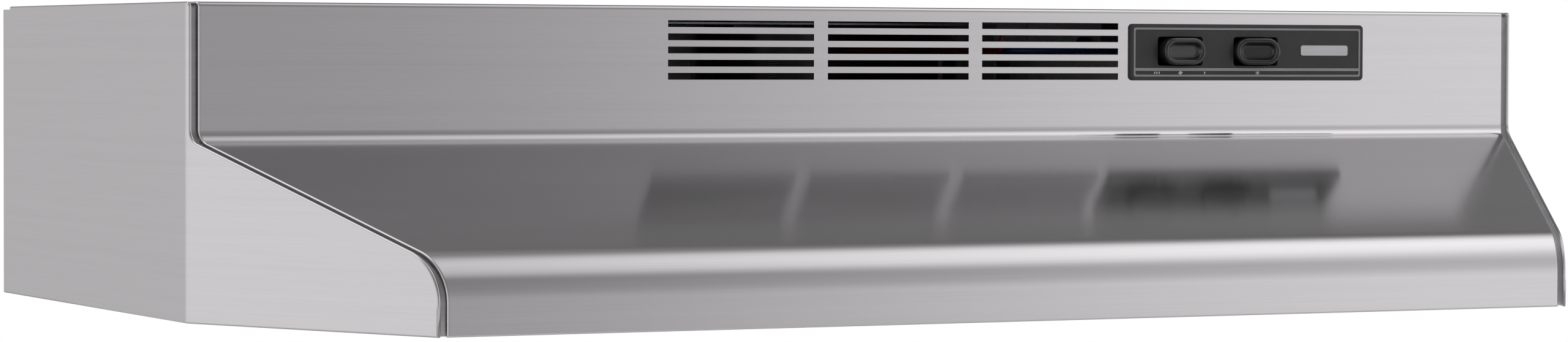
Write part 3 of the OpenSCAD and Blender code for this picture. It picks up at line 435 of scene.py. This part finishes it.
def add_rings(bm, rings, close_first=False, close_last=False, loop=True):
    """Bridges equal rings of points and returns their vertices."""
    made = [[bm.verts.new(p) for p in ring] for ring in rings]
    n = len(rings[0])
    for a, b in zip(made, made[1:]):
        for i in range(n if loop else n - 1):
            j = (i + 1) % n
            bm.faces.new((a[i], a[j], b[j], b[i]))
    if close_first:
        bm.faces.new(made[0])
    if close_last:
        bm.faces.new(made[-1])
    return made


def add_block(bm, lo, hi):
    """A box between two (x, y, height) corners."""
    corners = [[at(x, y, h) for x, y in ((lo[0], lo[1]), (hi[0], lo[1]), (hi[0], hi[1]), (lo[0], hi[1]))]
        for h in (lo[2], hi[2])]
    add_rings(bm, corners, True, True)


def cut(piece, cutter):
    """Takes a bmesh's solids out of a piece, for good."""
    bmesh.ops.recalc_face_normals(cutter, faces=cutter.faces)
    mesh = bpy.data.meshes.new("cutter")
    cutter.to_mesh(mesh)
    cutter.free()
    tool = bpy.data.objects.new("cutter", mesh)
    bpy.context.scene.collection.objects.link(tool)
    boolean = piece.modifiers.new("cut", "BOOLEAN")
    boolean.object = tool
    boolean.solver = "EXACT"
    bpy.context.view_layer.update()
    ready = piece.evaluated_get(bpy.context.evaluated_depsgraph_get())
    result = bpy.data.meshes.new_from_object(ready)
    piece.modifiers.clear()
    old = piece.data
    piece.data = result
    bpy.data.meshes.remove(old)
    bpy.data.objects.remove(tool)
    bpy.data.meshes.remove(mesh)


def set_uv(piece, rule):
    """Lays a UV map in metres: rule takes a point as (x, y, height) and its face's normal."""
    mesh = piece.data
    layer = mesh.uv_layers.new(name="UVMap") if not mesh.uv_layers else mesh.uv_layers[0]
    for face in mesh.polygons:
        for corner in face.loop_indices:
            p = mesh.vertices[mesh.loops[corner].vertex_index].co
            layer.data[corner].uv = rule((p.x / MM, p.y / MM, p.z / MM + HOOD_H), face.normal)


# ---------- canopy ----------
def bend_centre(corner, n1, n2, r):
    scale = r / (1 + n1[0] * n2[0] + n1[1] * n2[1])
    return (corner[0] - scale * (n1[0] + n2[0]), corner[1] - scale * (n1[1] + n2[1]))


N_FRONT = (-1, 0)
N_SLOPE = (-math.sin(SLOPE), math.cos(SLOPE))
TOP_C = (-BOX_D + TOP_BEND_R, HOOD_H - TOP_BEND_R)
CREASE_C = bend_centre((-BOX_D, CREASE_RISE), N_FRONT, N_SLOPE, -CREASE_BEND_R)
LIP_C = bend_centre((-HOOD_D, LIP_RISE), N_SLOPE, N_FRONT, LIP_BEND_R)


def arc(centre, r, a1, a2, steps, sign=1):
    """Points on an arc with their outward normals: sign is -1 where the centre is outside the sheet."""
    points = []
    for i in range(steps + 1):
        a = a1 + (a2 - a1) * i / steps
        c, s = math.cos(a), math.sin(a)
        points.append((centre[0] + r * c, centre[1] + r * s, sign * c, sign * s))
    return points


def canopy_path():
    """The canopy's section from the wall to the rim: y, height and the outward normal's y and height."""
    right = math.pi / 2
    return ([(0, HOOD_H, 0, 1)]
        + arc(TOP_C, TOP_BEND_R, right, math.pi, 8)
        + arc(CREASE_C, CREASE_BEND_R, 0, SLOPE - right, 14, -1)
        + arc(LIP_C, LIP_BEND_R, right + SLOPE, math.pi, 26)
        + [(-HOOD_D, RIM_HEM, -1, 0)])


def offset(point, depth):
    """A point of the section's path, taken inwards: past its radius the top bend closes to a corner."""
    y, h, ny, nh = point
    if depth > TOP_BEND_R and h > HOOD_H - TOP_BEND_R - 0.01 and y < -1:
        slip = 0.004 * math.atan2(-ny, nh)
        return (-BOX_D + depth + slip, HOOD_H - depth - slip)
    return (y - depth * ny, h - depth * nh)


def straight_x(y, inset):
    """Half the outline's width at y, set inwards, with a sharp fold."""
    side = HOOD_W / 2 - inset
    mitred = HOOD_W / 2 - inset / math.cos(MITRE) - (FOLD_Y - y) * math.tan(MITRE)
    return side, mitred


def plan_x(y, inset, ease=0.9):
    """Half the outline's width at y, set inwards, with a fold that is eased a little."""
    side, mitred = straight_x(y, inset)
    share = min(1, max(0, 0.5 + 0.5 * (mitred - side) / ease))
    return mitred * (1 - share) + side * share - ease * share * (1 - share)


def canopy_ring(y, h, normal, thin, pinch=1.0, push=0.0):
    """The sheet cut across the hood: its two edges are folded under, thin is its depth between the folds.
    pinch flattens it towards its mid depth and push moves it down, for the folded rim."""
    r = HEM / 2
    steps = 8
    half = [(-r + r * math.sin(math.pi * i / steps), r - r * math.cos(math.pi * i / steps))
        for i in range(steps + 1)]
    half += [(-SIDE_HEM, HEM), (-SIDE_HEM - 0.02, thin)]
    ring = []
    for side, points in ((1, half), (-1, half[::-1])):
        for inset, depth in points:
            depth = r + (depth - r) * pinch
            py = y - depth * normal[0]
            ring.append(at(side * (min(straight_x(py, SEAM_I)) + inset), py, h - depth * normal[1] - push))
    return ring


def build_canopy():
    r = HEM / 2
    rings = [canopy_ring(y, h, (ny, nh), SHEET) for y, h, ny, nh in canopy_path()]
    rings.append(canopy_ring(-HOOD_D, RIM_HEM - 0.02, N_FRONT, HEM - 0.001))
    for i in range(7):
        a = math.pi / 2 * i / 6.4
        rings.append(canopy_ring(-HOOD_D, r, N_FRONT, HEM - 0.001, math.cos(a), r * math.sin(a)))
    bm = bmesh.new()
    add_rings(bm, rings, True, True)
    canopy = new_piece("canopy_skin", bm, "stainless", "hood", ("canopy_sheet",))
    cut(canopy, canopy_cutters())
    set_uv(canopy, lambda p, n: (p[0] * MM, path_length(p) * MM))
    round_edges(canopy, 0.16, angle=50)


def path_length(p):
    """Distance along the section, close enough for a grain that doesn't jump at the bends."""
    return p[2] - p[1] * (1 if p[2] > HOOD_H - 2 else math.sin(SLOPE) if p[1] < -BOX_D - 3 else 0)


SLOT_L, SLOT_H, SLOT_PITCH, SLOT_DROP, GROUP_GAP, SLOT_ROWS = 81.5, 3.4, 6.55, 9, 7.9, 5
PLATE_W, PLATE_H, PLATE_T, PLATE_X, PLATE_DROP = 146, 29.7, 1.6, 209.8, 7.5
PLATE_RISE = HOOD_H - PLATE_DROP - PLATE_H / 2
ROCKER_RISE = PLATE_RISE + 0.5
ROCKER_L, ROCKER_H, ROCKER_PROUD, ROCKER_TILT = 25.6, 14, 5.6, 8
ROCKER_X = (PLATE_X - 42.3, PLATE_X + 4.7)
PIVOT_Y = -BOX_D + 3
KEYHOLES = [(x, y) for x in (-350, 350) for y in (-40, -270)]
KEYHOLE_R, KEYHOLE_NECK, KEYHOLE_L = 5.5, 5, 12
KNOCKOUT_R = 11.1


def canopy_cutters():
    bm = bmesh.new()
    for group in (-1, 0, 1):
        for row in range(SLOT_ROWS):
            x = group * (SLOT_L + GROUP_GAP)
            h = HOOD_H - SLOT_DROP - row * SLOT_PITCH
            add_block(bm, (x - SLOT_L / 2, -BOX_D - 2, h - SLOT_H / 2),
                (x + SLOT_L / 2, -BOX_D + 4, h + SLOT_H / 2))
    add_block(bm, (PLATE_X - PLATE_W / 2 + 6, -BOX_D - 2, ROCKER_RISE - 9.5),
        (PLATE_X + PLATE_W / 2 - 6, -BOX_D + 4, ROCKER_RISE + 9.5))
    depths = (HOOD_H - 4, HOOD_H + 4)
    for x, y in KEYHOLES:
        neck = math.asin(KEYHOLE_NECK / 2 / KEYHOLE_R)
        outline = [(x + KEYHOLE_R * math.sin(a), y - KEYHOLE_R * math.cos(a))
            for a in (neck + (2 * math.pi - 2 * neck) * i / 30 for i in range(31))]
        outline += [(x - KEYHOLE_NECK / 2 * math.cos(a), y - KEYHOLE_L - KEYHOLE_NECK / 2 * math.sin(a))
            for a in (math.pi * i / 10 for i in range(11))]
        add_rings(bm, [[at(px, py, h) for px, py in outline] for h in depths], True, True)
    lo, hi = node_box("knockout_slug")
    centre = (lo + hi) / 2
    circle = [(centre.x + KNOCKOUT_R * math.cos(a), centre.y + KNOCKOUT_R * math.sin(a))
        for a in (2 * math.pi * i / 48 for i in range(48))]
    add_rings(bm, [[at(px, py, h) for px, py in circle] for h in depths], True, True)
    return bm


# ---------- side panels ----------
def panel_outline(inset, rim):
    """A side panel's edge as (y, height), set inwards, with its lower edge at the height rim."""
    right = math.pi / 2
    top_r = TOP_BEND_R - inset
    outline = [(0, HOOD_H - max(inset, HEM)), (-12, HOOD_H - max(inset, HEM)), (-12.02, HOOD_H - inset)]
    for i in range(9):
        a = right + right * i / 8
        if top_r > 0:
            outline.append((TOP_C[0] + top_r * math.cos(a), TOP_C[1] + top_r * math.sin(a)))
        else:
            outline.append((-BOX_D + inset, HOOD_H - inset - 0.001 * i))
    outline += [(y, h) for y, h, _, _ in arc(CREASE_C, CREASE_BEND_R + inset, 0, SLOPE - right, 14)]
    outline += [(y, h) for y, h, _, _ in arc(LIP_C, LIP_BEND_R - inset, right + SLOPE, math.pi, 26)]
    outline += [(-HOOD_D + inset, rim), (0, rim)]
    return outline


def bend_to_plan(bm, side):
    """Bends a panel that was drawn flat, with x as its depth, along the hood's outline."""
    for step in (-3, -1.5, -0.8, -0.4, 0, 0.4, 0.8, 1.5, 3):
        geometry = bm.verts[:] + bm.edges[:] + bm.faces[:]
        bmesh.ops.bisect_plane(bm, geom=geometry, plane_co=(0, (FOLD_Y + step) * MM, 0), plane_no=(0, 1, 0))
    for vert in bm.verts:
        vert.co.x = side * plan_x(vert.co.y / MM, vert.co.x / MM) * MM


def build_side_panel(side, name, node):
    bm = bmesh.new()
    r = HEM / 2
    steps = 8
    rings = []
    for i in range(steps + 1):
        a = math.pi * i / steps
        inset = r * (1 - math.sin(a))
        rings.append([at(r - r * math.cos(a), y, h) for y, h in panel_outline(inset, inset)])
    rings.append([at(HEM, y, h) for y, h in panel_outline(EDGE_HEM, RIM_HEM)])
    rings.append([at(SHEET, y, h) for y, h in panel_outline(EDGE_HEM + 0.02, RIM_HEM + 0.02)])
    add_rings(bm, rings, True, True)
    panel_faces = set(bm.faces)
    # the flange behind the canopy sheet's edge, with a channel under the seam
    wall = SEAM_I + 0.6
    shape = ((HEM, CHANNEL), (wall, CHANNEL), (wall, FLANGE_DEPTH), (FLANGE_W, FLANGE_DEPTH),
        (FLANGE_W, FLANGE_DEPTH + SHEET), (wall + SHEET, FLANGE_DEPTH + SHEET),
        (wall + SHEET, CHANNEL + SHEET), (HEM, CHANNEL + SHEET))
    flange = [[at(x, *offset(point, d)) for x, d in shape] for point in canopy_path()]
    flange.append([at(x, -HOOD_D + d, 0.4) for x, d in shape])
    add_rings(bm, flange, True, True)
    for face in bm.faces:
        face.material_index = int(face not in panel_faces)
    bend_to_plan(bm, side)
    panel = new_piece(name, bm, "stainless", "hood", (node,))
    # The flange faces take a second steel: a darker copy on the left panel, painted shade in the seam's groove,
    # and a lighter copy on the right, a painted highlight.
    panel.data.materials.append(materials["painted_shade_seam_steel" if side < 0 else "painted_highlight_seam_steel"])
    set_uv(panel, lambda p, n: (-p[1] * MM / math.cos(MITRE if p[1] < FOLD_Y else 0), p[2] * MM))
    even = panel.modifiers.new("even", "WEIGHTED_NORMAL")
    even.keep_sharp = True
    for edge in panel.data.edges:
        edge.use_edge_sharp = False


# ---------- switch plate, badge and rockers ----------
def on_face(x, up, out, centre_x=PLATE_X, centre_h=PLATE_RISE):
    """A point on the front face: x to the right, up, and out towards the cook."""
    return at(centre_x + x, -BOX_D - out, centre_h + up)


def rounded(w, h, r, steps=6):
    """A rectangle with round corners as (x, up), starting at the right."""
    points = []
    for k, (sx, sy) in enumerate(((1, 1), (-1, 1), (-1, -1), (1, -1))):
        for i in range(steps + 1):
            a = math.pi / 2 * (k + i / steps)
            points.append((sx * (w / 2 - r) + r * math.cos(a), sy * (h / 2 - r) + r * math.sin(a)))
    return points


def add_layers(bm, w, h, r, layers, centre=(PLATE_X, PLATE_RISE), first=True, last=True):
    """Stacks rounded rectangles: each layer is (inset, how far out)."""
    rings = [[on_face(x, up, out, *centre) for x, up in rounded(w - 2 * i, h - 2 * i, max(r - i, 0.15))]
        for i, out in layers]
    return add_rings(bm, rings, first, last)


def build_plate():
    bm = bmesh.new()
    add_layers(bm, PLATE_W, PLATE_H, 2.2, ((0, 0), (0, PLATE_T - 0.5), (0.15, PLATE_T - 0.15), (0.5, PLATE_T),
        (3.2, PLATE_T), (3.4, PLATE_T - 0.2)))
    plate = new_piece("plate_moulding", bm, "plate_plastic", "hood", ("switch_plate",))
    cutter = bmesh.new()
    for x in ROCKER_X:
        add_layers(cutter, ROCKER_L + 2, ROCKER_H + 1.4, 1.6, ((0, -1), (0, PLATE_T + 1)), (x, ROCKER_RISE))
    cut(plate, cutter)
    round_edges(plate, 0.12, angle=50)


def build_plate_lines():
    """Thin pale lines round the plate and under the rockers."""
    bm = bmesh.new()
    base = PLATE_T - 0.25
    top = PLATE_T + 0.08
    outer, inner = 2.0, 3.0
    loops = [[on_face(x, up, out) for x, up in rounded(PLATE_W - 2 * i, PLATE_H - 2 * i, 1.0)]
        for i, out in ((outer, base), (outer, top), (inner, top), (inner, base))]
    add_rings(bm, loops + loops[:1])
    bmesh.ops.remove_doubles(bm, verts=bm.verts, dist=1e-7)
    end = PLATE_W / 2 - inner
    low = -PLATE_H / 2 + 5.0
    high = low + 1.5
    ring = [(-end, low), (end, low), (end, high), (-end, high)]
    add_rings(bm, [[on_face(x, y, out) for x, y in ring] for out in (base - 0.1, top)], True, True)
    lines = new_piece("plate_lines", bm, "badge_satin", "hood", smooth=False)
    lines.data.materials[0] = materials["line_grey"]


def build_badge():
    """A plain satin bar."""
    bm = bmesh.new()
    add_layers(bm, 30, 5.6, 1.2, ((0, 0), (0, 0.3), (0.2, 0.5)), (PLATE_X + 48, ROCKER_RISE + 0.6))
    for vert in bm.verts:
        vert.co.y -= (PLATE_T - 0.25) * MM
    new_piece("badge_bar", bm, "badge_satin", "hood", ("plate_badge",), smooth=False)


def stadium(inset, arc_steps=14):
    """The rocker's round-ended outline, set inwards, as (x, up)."""
    half = (ROCKER_L - ROCKER_H) / 2
    r = ROCKER_H / 2 - inset
    points = []
    for side in (1, -1):
        for i in range(arc_steps + 1):
            a = -math.pi / 2 + math.pi * i / arc_steps
            points.append((side * (half + r * math.cos(a)), side * r * math.sin(a)))
    return points


def build_rocker(node, x, tilt):
    """An oval paddle with a raised rim round a dished middle."""
    top = PIVOT_Y + BOX_D + PLATE_T + ROCKER_PROUD
    edge_r = 1.3
    layers = [(0, -3.2)]
    layers += [(edge_r - edge_r * math.cos(a), top - edge_r + edge_r * math.sin(a))
        for a in (math.pi / 2 * i / 6 for i in range(7))]
    dish = 2.6
    for i in range(1, 9):
        s = i / 8
        layers.append((edge_r + 0.4 + 2.6 * s, top - dish * (0.5 - 0.5 * math.cos(math.pi * s))))
    layers.append((5.4, top - dish))
    turn = Matrix.Rotation(math.radians(tilt), 4, "Z")
    pivot = at(x, PIVOT_Y, ROCKER_RISE)
    bm = bmesh.new()
    rings = [[pivot + turn @ (Vector((px, -out, up)) * MM) for px, up in stadium(inset)]
        for inset, out in layers]
    add_rings(bm, rings, True, True)
    new_piece(node + "_paddle", bm, "rocker_plastic", body_of[node], (node,))


def build_marks():
    """Plain marks under the rockers: fast, a fan, slow, and a lamp."""
    bm = bmesh.new()
    middle = -PLATE_H / 2 + 4.0
    depths = (PLATE_T - 0.3, PLATE_T + 0.06)

    def mark(points):
        add_rings(bm, [[on_face(x, up, out) for x, up in points] for out in depths], True, True)

    def bar(x, w):
        mark([(x - w / 2, middle - 0.55), (x + w / 2, middle - 0.55),
            (x + w / 2, middle + 0.55), (x - w / 2, middle + 0.55)])

    fan_x = ROCKER_X[0] - PLATE_X
    for step in (-1.4, 0, 1.4):
        bar(fan_x - 14.5 + step, 0.7)
    bar(fan_x + 15, 0.7)
    for blade in range(4):
        turn = math.pi / 2 * blade
        leaf = [(0.15 + 0.65 * math.cos(a) + 0.55, 0.42 * math.sin(a) + 0.2)
            for a in (2 * math.pi * i / 10 for i in range(10))]
        cos, sin = math.cos(turn), math.sin(turn)
        mark([(fan_x + x * cos - y * sin, middle + x * sin + y * cos) for x, y in leaf])
    lamp_x = ROCKER_X[1] - PLATE_X + 1
    mark([(lamp_x + 0.6 * math.cos(a), middle + 0.6 * math.sin(a))
        for a in (2 * math.pi * i / 14 for i in range(14))])
    for ray in range(8):
        a = 2 * math.pi * ray / 8
        across = Vector((-math.sin(a), math.cos(a))) * 0.12
        along = Vector((math.cos(a), math.sin(a)))
        mark([(lamp_x + p.x, middle + p.y * 0.75) for p in (along * 0.85 - across, along * 1.5 - across,
            along * 1.5 + across, along * 0.85 + across)])
    new_piece("plate_marks", bm, "badge_satin", "hood", smooth=False)


# ---------- filter ----------
def build_filter():
    """A rolled frame in four mitred lengths, and two layers of expanded mesh over the carbon mat."""
    lo, hi = node_box("filter_frame")
    centre = (lo + hi) / 2
    half = (hi - lo) / 2
    height = hi.z - lo.z
    lip, wall, r = 9, 0.6, 1.1
    corner = [(r - r * math.cos(a), r - r * math.sin(a)) for a in (math.pi / 2 * i / 4 for i in range(5))]
    section = [(lip, 0)] + corner[::-1] + [(i, height - h) for i, h in corner] + [(lip, height)]
    section += [(lip, height - wall), (wall, height - wall), (wall, wall), (lip, wall)]
    bm = bmesh.new()
    gap = 0.12
    for turn in range(4):
        along, out = (half.x, half.y) if turn % 2 else (half.y, half.x)
        rings = []
        for end in (-1, 1):
            ring = []
            for inset, h in section:
                u, v = end * (along - inset - gap), out - inset
                ux, uy = ((0, 1), (-1, 0), (0, -1), (1, 0))[turn]
                vx, vy = ((1, 0), (0, 1), (-1, 0), (0, -1))[turn]
                ring.append(at(centre.x + u * ux + v * vx, centre.y + u * uy + v * vy, lo.z + h))
            rings.append(ring)
        add_rings(bm, rings, True, True)
    for sx in (-1, 1):
        for sy in (-1, 1):
            for dx, dy in ((28, 4.5), (4.5, 28)):
                add_dome(bm, centre.x + sx * (half.x - dx), centre.y + sy * (half.y - dy), lo.z, 1.6, -0.3)
    frame_piece = new_piece("filter_rolled_frame", bm, "filter_alloy", "filter", ("filter_frame",))
    frame_piece.modifiers.new("even", "WEIGHTED_NORMAL").keep_sharp = True
    for name in ("filter_mesh_lower", "filter_mesh_upper"):
        build_mesh_layer(name, lip)


def add_dome(bm, x, y, h, r, rise):
    rings = [[at(x + r * math.cos(t) * math.cos(a), y + r * math.cos(t) * math.sin(a), h + rise * math.sin(t))
        for a in (2 * math.pi * i / 12 for i in range(12))] for t in (0, 0.4, 0.8, 1.2)]
    add_rings(bm, rings, False, True)


def build_mesh_layer(node, lip):
    """Expanded metal: two families of thin strands that cross in long diamonds."""
    lo, hi = node_box(node)
    x0, x1, y0, y1 = lo.x + 6, hi.x - 6, lo.y + 6, hi.y - 6
    long, short = 8.0, 4.4
    thick = (hi.z - lo.z) * 0.55
    width = 0.85
    slope = short / long
    bm = bmesh.new()
    for family, sign in enumerate((1, -1)):
        base = lo.z if family == 0 else hi.z - thick
        first = y0 - (x1 - x0) * slope
        count = int(((y1 - y0) + 2 * (x1 - x0) * slope) / short) + 1
        for k in range(count):
            c = first + k * short
            ends = []
            for x in (x0, x1):
                ends.append((x, c + sign * slope * (x - (x0 if sign > 0 else x1))))
            clipped = clip_line(ends[0], ends[1], y0, y1)
            if clipped is None:
                continue
            (ax, ay), (bx, by) = clipped
            d = Vector((bx - ax, by - ay)).normalized()
            n = Vector((-d.y, d.x)) * width / 2
            flat = [(ax - n.x, ay - n.y), (bx - n.x, by - n.y), (bx + n.x, by + n.y), (ax + n.x, ay + n.y)]
            add_rings(bm, [[at(x, y, h) for x, y in flat] for h in (base, base + thick)], True, True)
    new_piece(node + "_strands", bm, "filter_alloy", "filter", (node,), smooth=False)


def clip_line(a, b, y0, y1):
    """The stretch of the line from a to b between two values of y, or None."""
    (ax, ay), (bx, by) = a, b
    low, high = 0.0, 1.0
    for edge, sign in ((y0, 1), (y1, -1)):
        start, run = sign * (ay - edge), sign * (by - ay)
        if start + low * run < 0 and start + high * run < 0:
            return None
        cross = -start / run if run else 0
        if start + low * run < 0:
            low = max(low, cross)
        if start + high * run < 0:
            high = min(high, cross)
    if high - low < 0.004:
        return None
    return [(ax + t * (bx - ax), ay + t * (by - ay)) for t in (low, high)]


# ---------- lamp lens ----------
def build_lens():
    """A ribbed, translucent tray with a lip and two hooks."""
    lo, hi = node_box("light_lens")
    lip = 4
    centre_x = (lo.x + hi.x) / 2
    w = hi.x - lo.x - 2 * lip
    y_front = lo.y + lip
    depth = 98
    centre_y = y_front + depth / 2
    low, top = lo.z, hi.z
    lip_top = 57.8
    wall = 1.8
    outer = [(0, top), (0, lip_top), (-lip, lip_top), (-lip, lip_top - 1.6), (-0.4, lip_top - 1.6),
        (0.2, lip_top - 4.0), (1.2, low + 2.2), (2.6, low + 0.9), (4.6, low + 0.42), (7, low + 0.36)]
    inner = [(wall, top), (wall, low + wall + 2), (wall + 1.4, low + wall + 0.6),
        (wall + 3.5, low + wall + 0.4)]
    bm = bmesh.new()

    def ring(inset, h):
        corner = max(6 - inset, 0.8)
        return [at(centre_x + x, centre_y + y, h)
            for x, y in rounded(w - 2 * inset, depth - 2 * inset, corner)]
    add_rings(bm, [ring(i, h) for i, h in inner[::-1] + outer], True, True)
    pitch = 3.6
    count = int((w - 18) / pitch)
    for k in range(count + 1):
        x = centre_x + (k - count / 2) * pitch
        rib = [(x - pitch / 2 * math.cos(a) * 0.96, low + 0.40 - 0.40 * math.sin(a))
            for a in (math.pi * i / 6 for i in range(7))] + [(x, low + 0.6)]
        ends = [centre_y + sy * (depth / 2 - 7.5) for sy in (-1, 1)]
        add_rings(bm, [[at(px, y, h) for px, h in rib] for y in ends], True, True)
    hook_x = w / 2 - 22
    axis_y = centre_y + depth / 2 + 5
    for sx in (-1, 1):
        x0, x1 = centre_x + sx * hook_x - 5, centre_x + sx * hook_x + 5
        add_block(bm, (x0, axis_y - 3, lip_top - 1.6), (x1, axis_y - 1.2, 60.2))
        add_block(bm, (x0, axis_y - 3, 59.0), (x1, axis_y + 2.5, 60.2))
    lens = new_piece("ribbed_lens", bm, "lens_plastic", "lens", ("light_lens",))
    lens.modifiers.new("even", "WEIGHTED_NORMAL").keep_sharp = True


# ---------- fan ----------
def build_fan():
    """A stamped spider with five cambered blades and a turned hub."""
    lo, hi = node_box("fan_blades")
    cx, cy = (lo.x + hi.x) / 2, (lo.y + hi.y) / 2
    tip_r = 88.9
    bm = bmesh.new()

    def polar(r, a, h):
        return at(cx + r * math.cos(a), cy + r * math.sin(a), h)
    middle = (lo.z + hi.z - 1) / 2
    reach, across = 12, 10
    thick = 0.9
    for blade in range(5):
        turn = 2 * math.pi * blade / 5
        top, bottom = [], []
        for i in range(reach + 1):
            t = i / reach
            r = 13.5 + (tip_r - 13.5) * t
            half_span = math.radians(14 + 15 * math.sin(math.pi * min(1, 0.25 + 0.62 * t)))
            round_off = 1 - 0.30 * max(0, (t - 0.86) / 0.14) ** 2
            upper, lower = [], []
            for j in range(across + 1):
                u = 2 * j / across - 1
                a = turn + half_span * round_off * u + 0.10 * t
                climb = 8.6 * u * (0.55 + 0.45 * t) - 1.4 * (1 - u * u)
                h = middle + min(max(climb, -9.3), 8.9)
                upper.append(polar(r, a, h + thick / 2))
                lower.append(polar(r, a, h - thick / 2))
            top.append(upper)
            bottom.append(lower)
        add_rings(bm, [up + down[::-1] for up, down in zip(top, bottom)], True, True)
    profile = [(3.02, lo.z + 2.05), (12.5, lo.z + 2.05), (13.8, lo.z + 2.8), (14.2, lo.z + 5), (14.2, middle + 4),
        (15.0, middle + 5.4), (14.9, hi.z - 0.6), (14.3, hi.z), (10.5, hi.z), (10, hi.z - 1.2), (6.4, hi.z - 1.2),
        (6, hi.z), (3.02, hi.z)]
    turns = [[polar(r, 2 * math.pi * i / 48, h) for r, h in profile] for i in range(48)]
    add_rings(bm, turns + turns[:1])
    bmesh.ops.remove_doubles(bm, verts=bm.verts, dist=1e-7)
    fan = new_piece("fan_spider", bm, "blade_alloy", "fan", ("fan_blades",))
    round_edges(fan, 0.15, angle=50)


def soften(node, width):
    """Rounds the edges of a CAD node's own mesh as a modifier."""
    round_edges(nodes[node], width, segments=1, angle=50, weld=True)


SOFTENED = {"back_panel": 0.2, "wiring_box": 0.25, "wiring_cover": 0.2, "motor_bracket": 0.3,
    "fan_shroud": 0.2, "lamp_housing": 0.2, "filter_pull_tab": 0.15, "filter_ledge": 0.2, "filter_springs": 0.12,
    "lens_catch": 0.12, "socket_bracket": 0.3, "fan_switch_case": 0.3, "light_switch_case": 0.3,
    "switch_terminals": 0.15, "motor_end_bell": 0.25, "lamp_socket": 0.6}

# CAD nodes in stainless steel that keep their own mesh, which has no UVs for the grain to follow.
UNMAPPED_STEEL = ("back_panel", "knockout_slug")

# ---------- the scene ----------
add_camera()
add_world()
add_lamp("overhead", (0.5, -0.9, 2.1), (0, -0.2, 0), 2.4, 1.2, 22)
add_floor()
make_materials()
for name, node in nodes.items():
    node.data.materials.clear()
    node.data.materials.append(materials["back_steel" if name in UNMAPPED_STEEL else slot_of[name]])
build_canopy()
build_side_panel(-1, "left_panel", "side_panel_left")
build_side_panel(1, "right_panel", "side_panel_right")
build_plate()
build_plate_lines()
build_badge()
build_marks()
build_filter()
build_lens()
build_fan()
for name, width in SOFTENED.items():
    soften(name, width)
build_rocker("fan_rocker", ROCKER_X[0], 0)
build_rocker("light_rocker", ROCKER_X[1], -ROCKER_TILT)
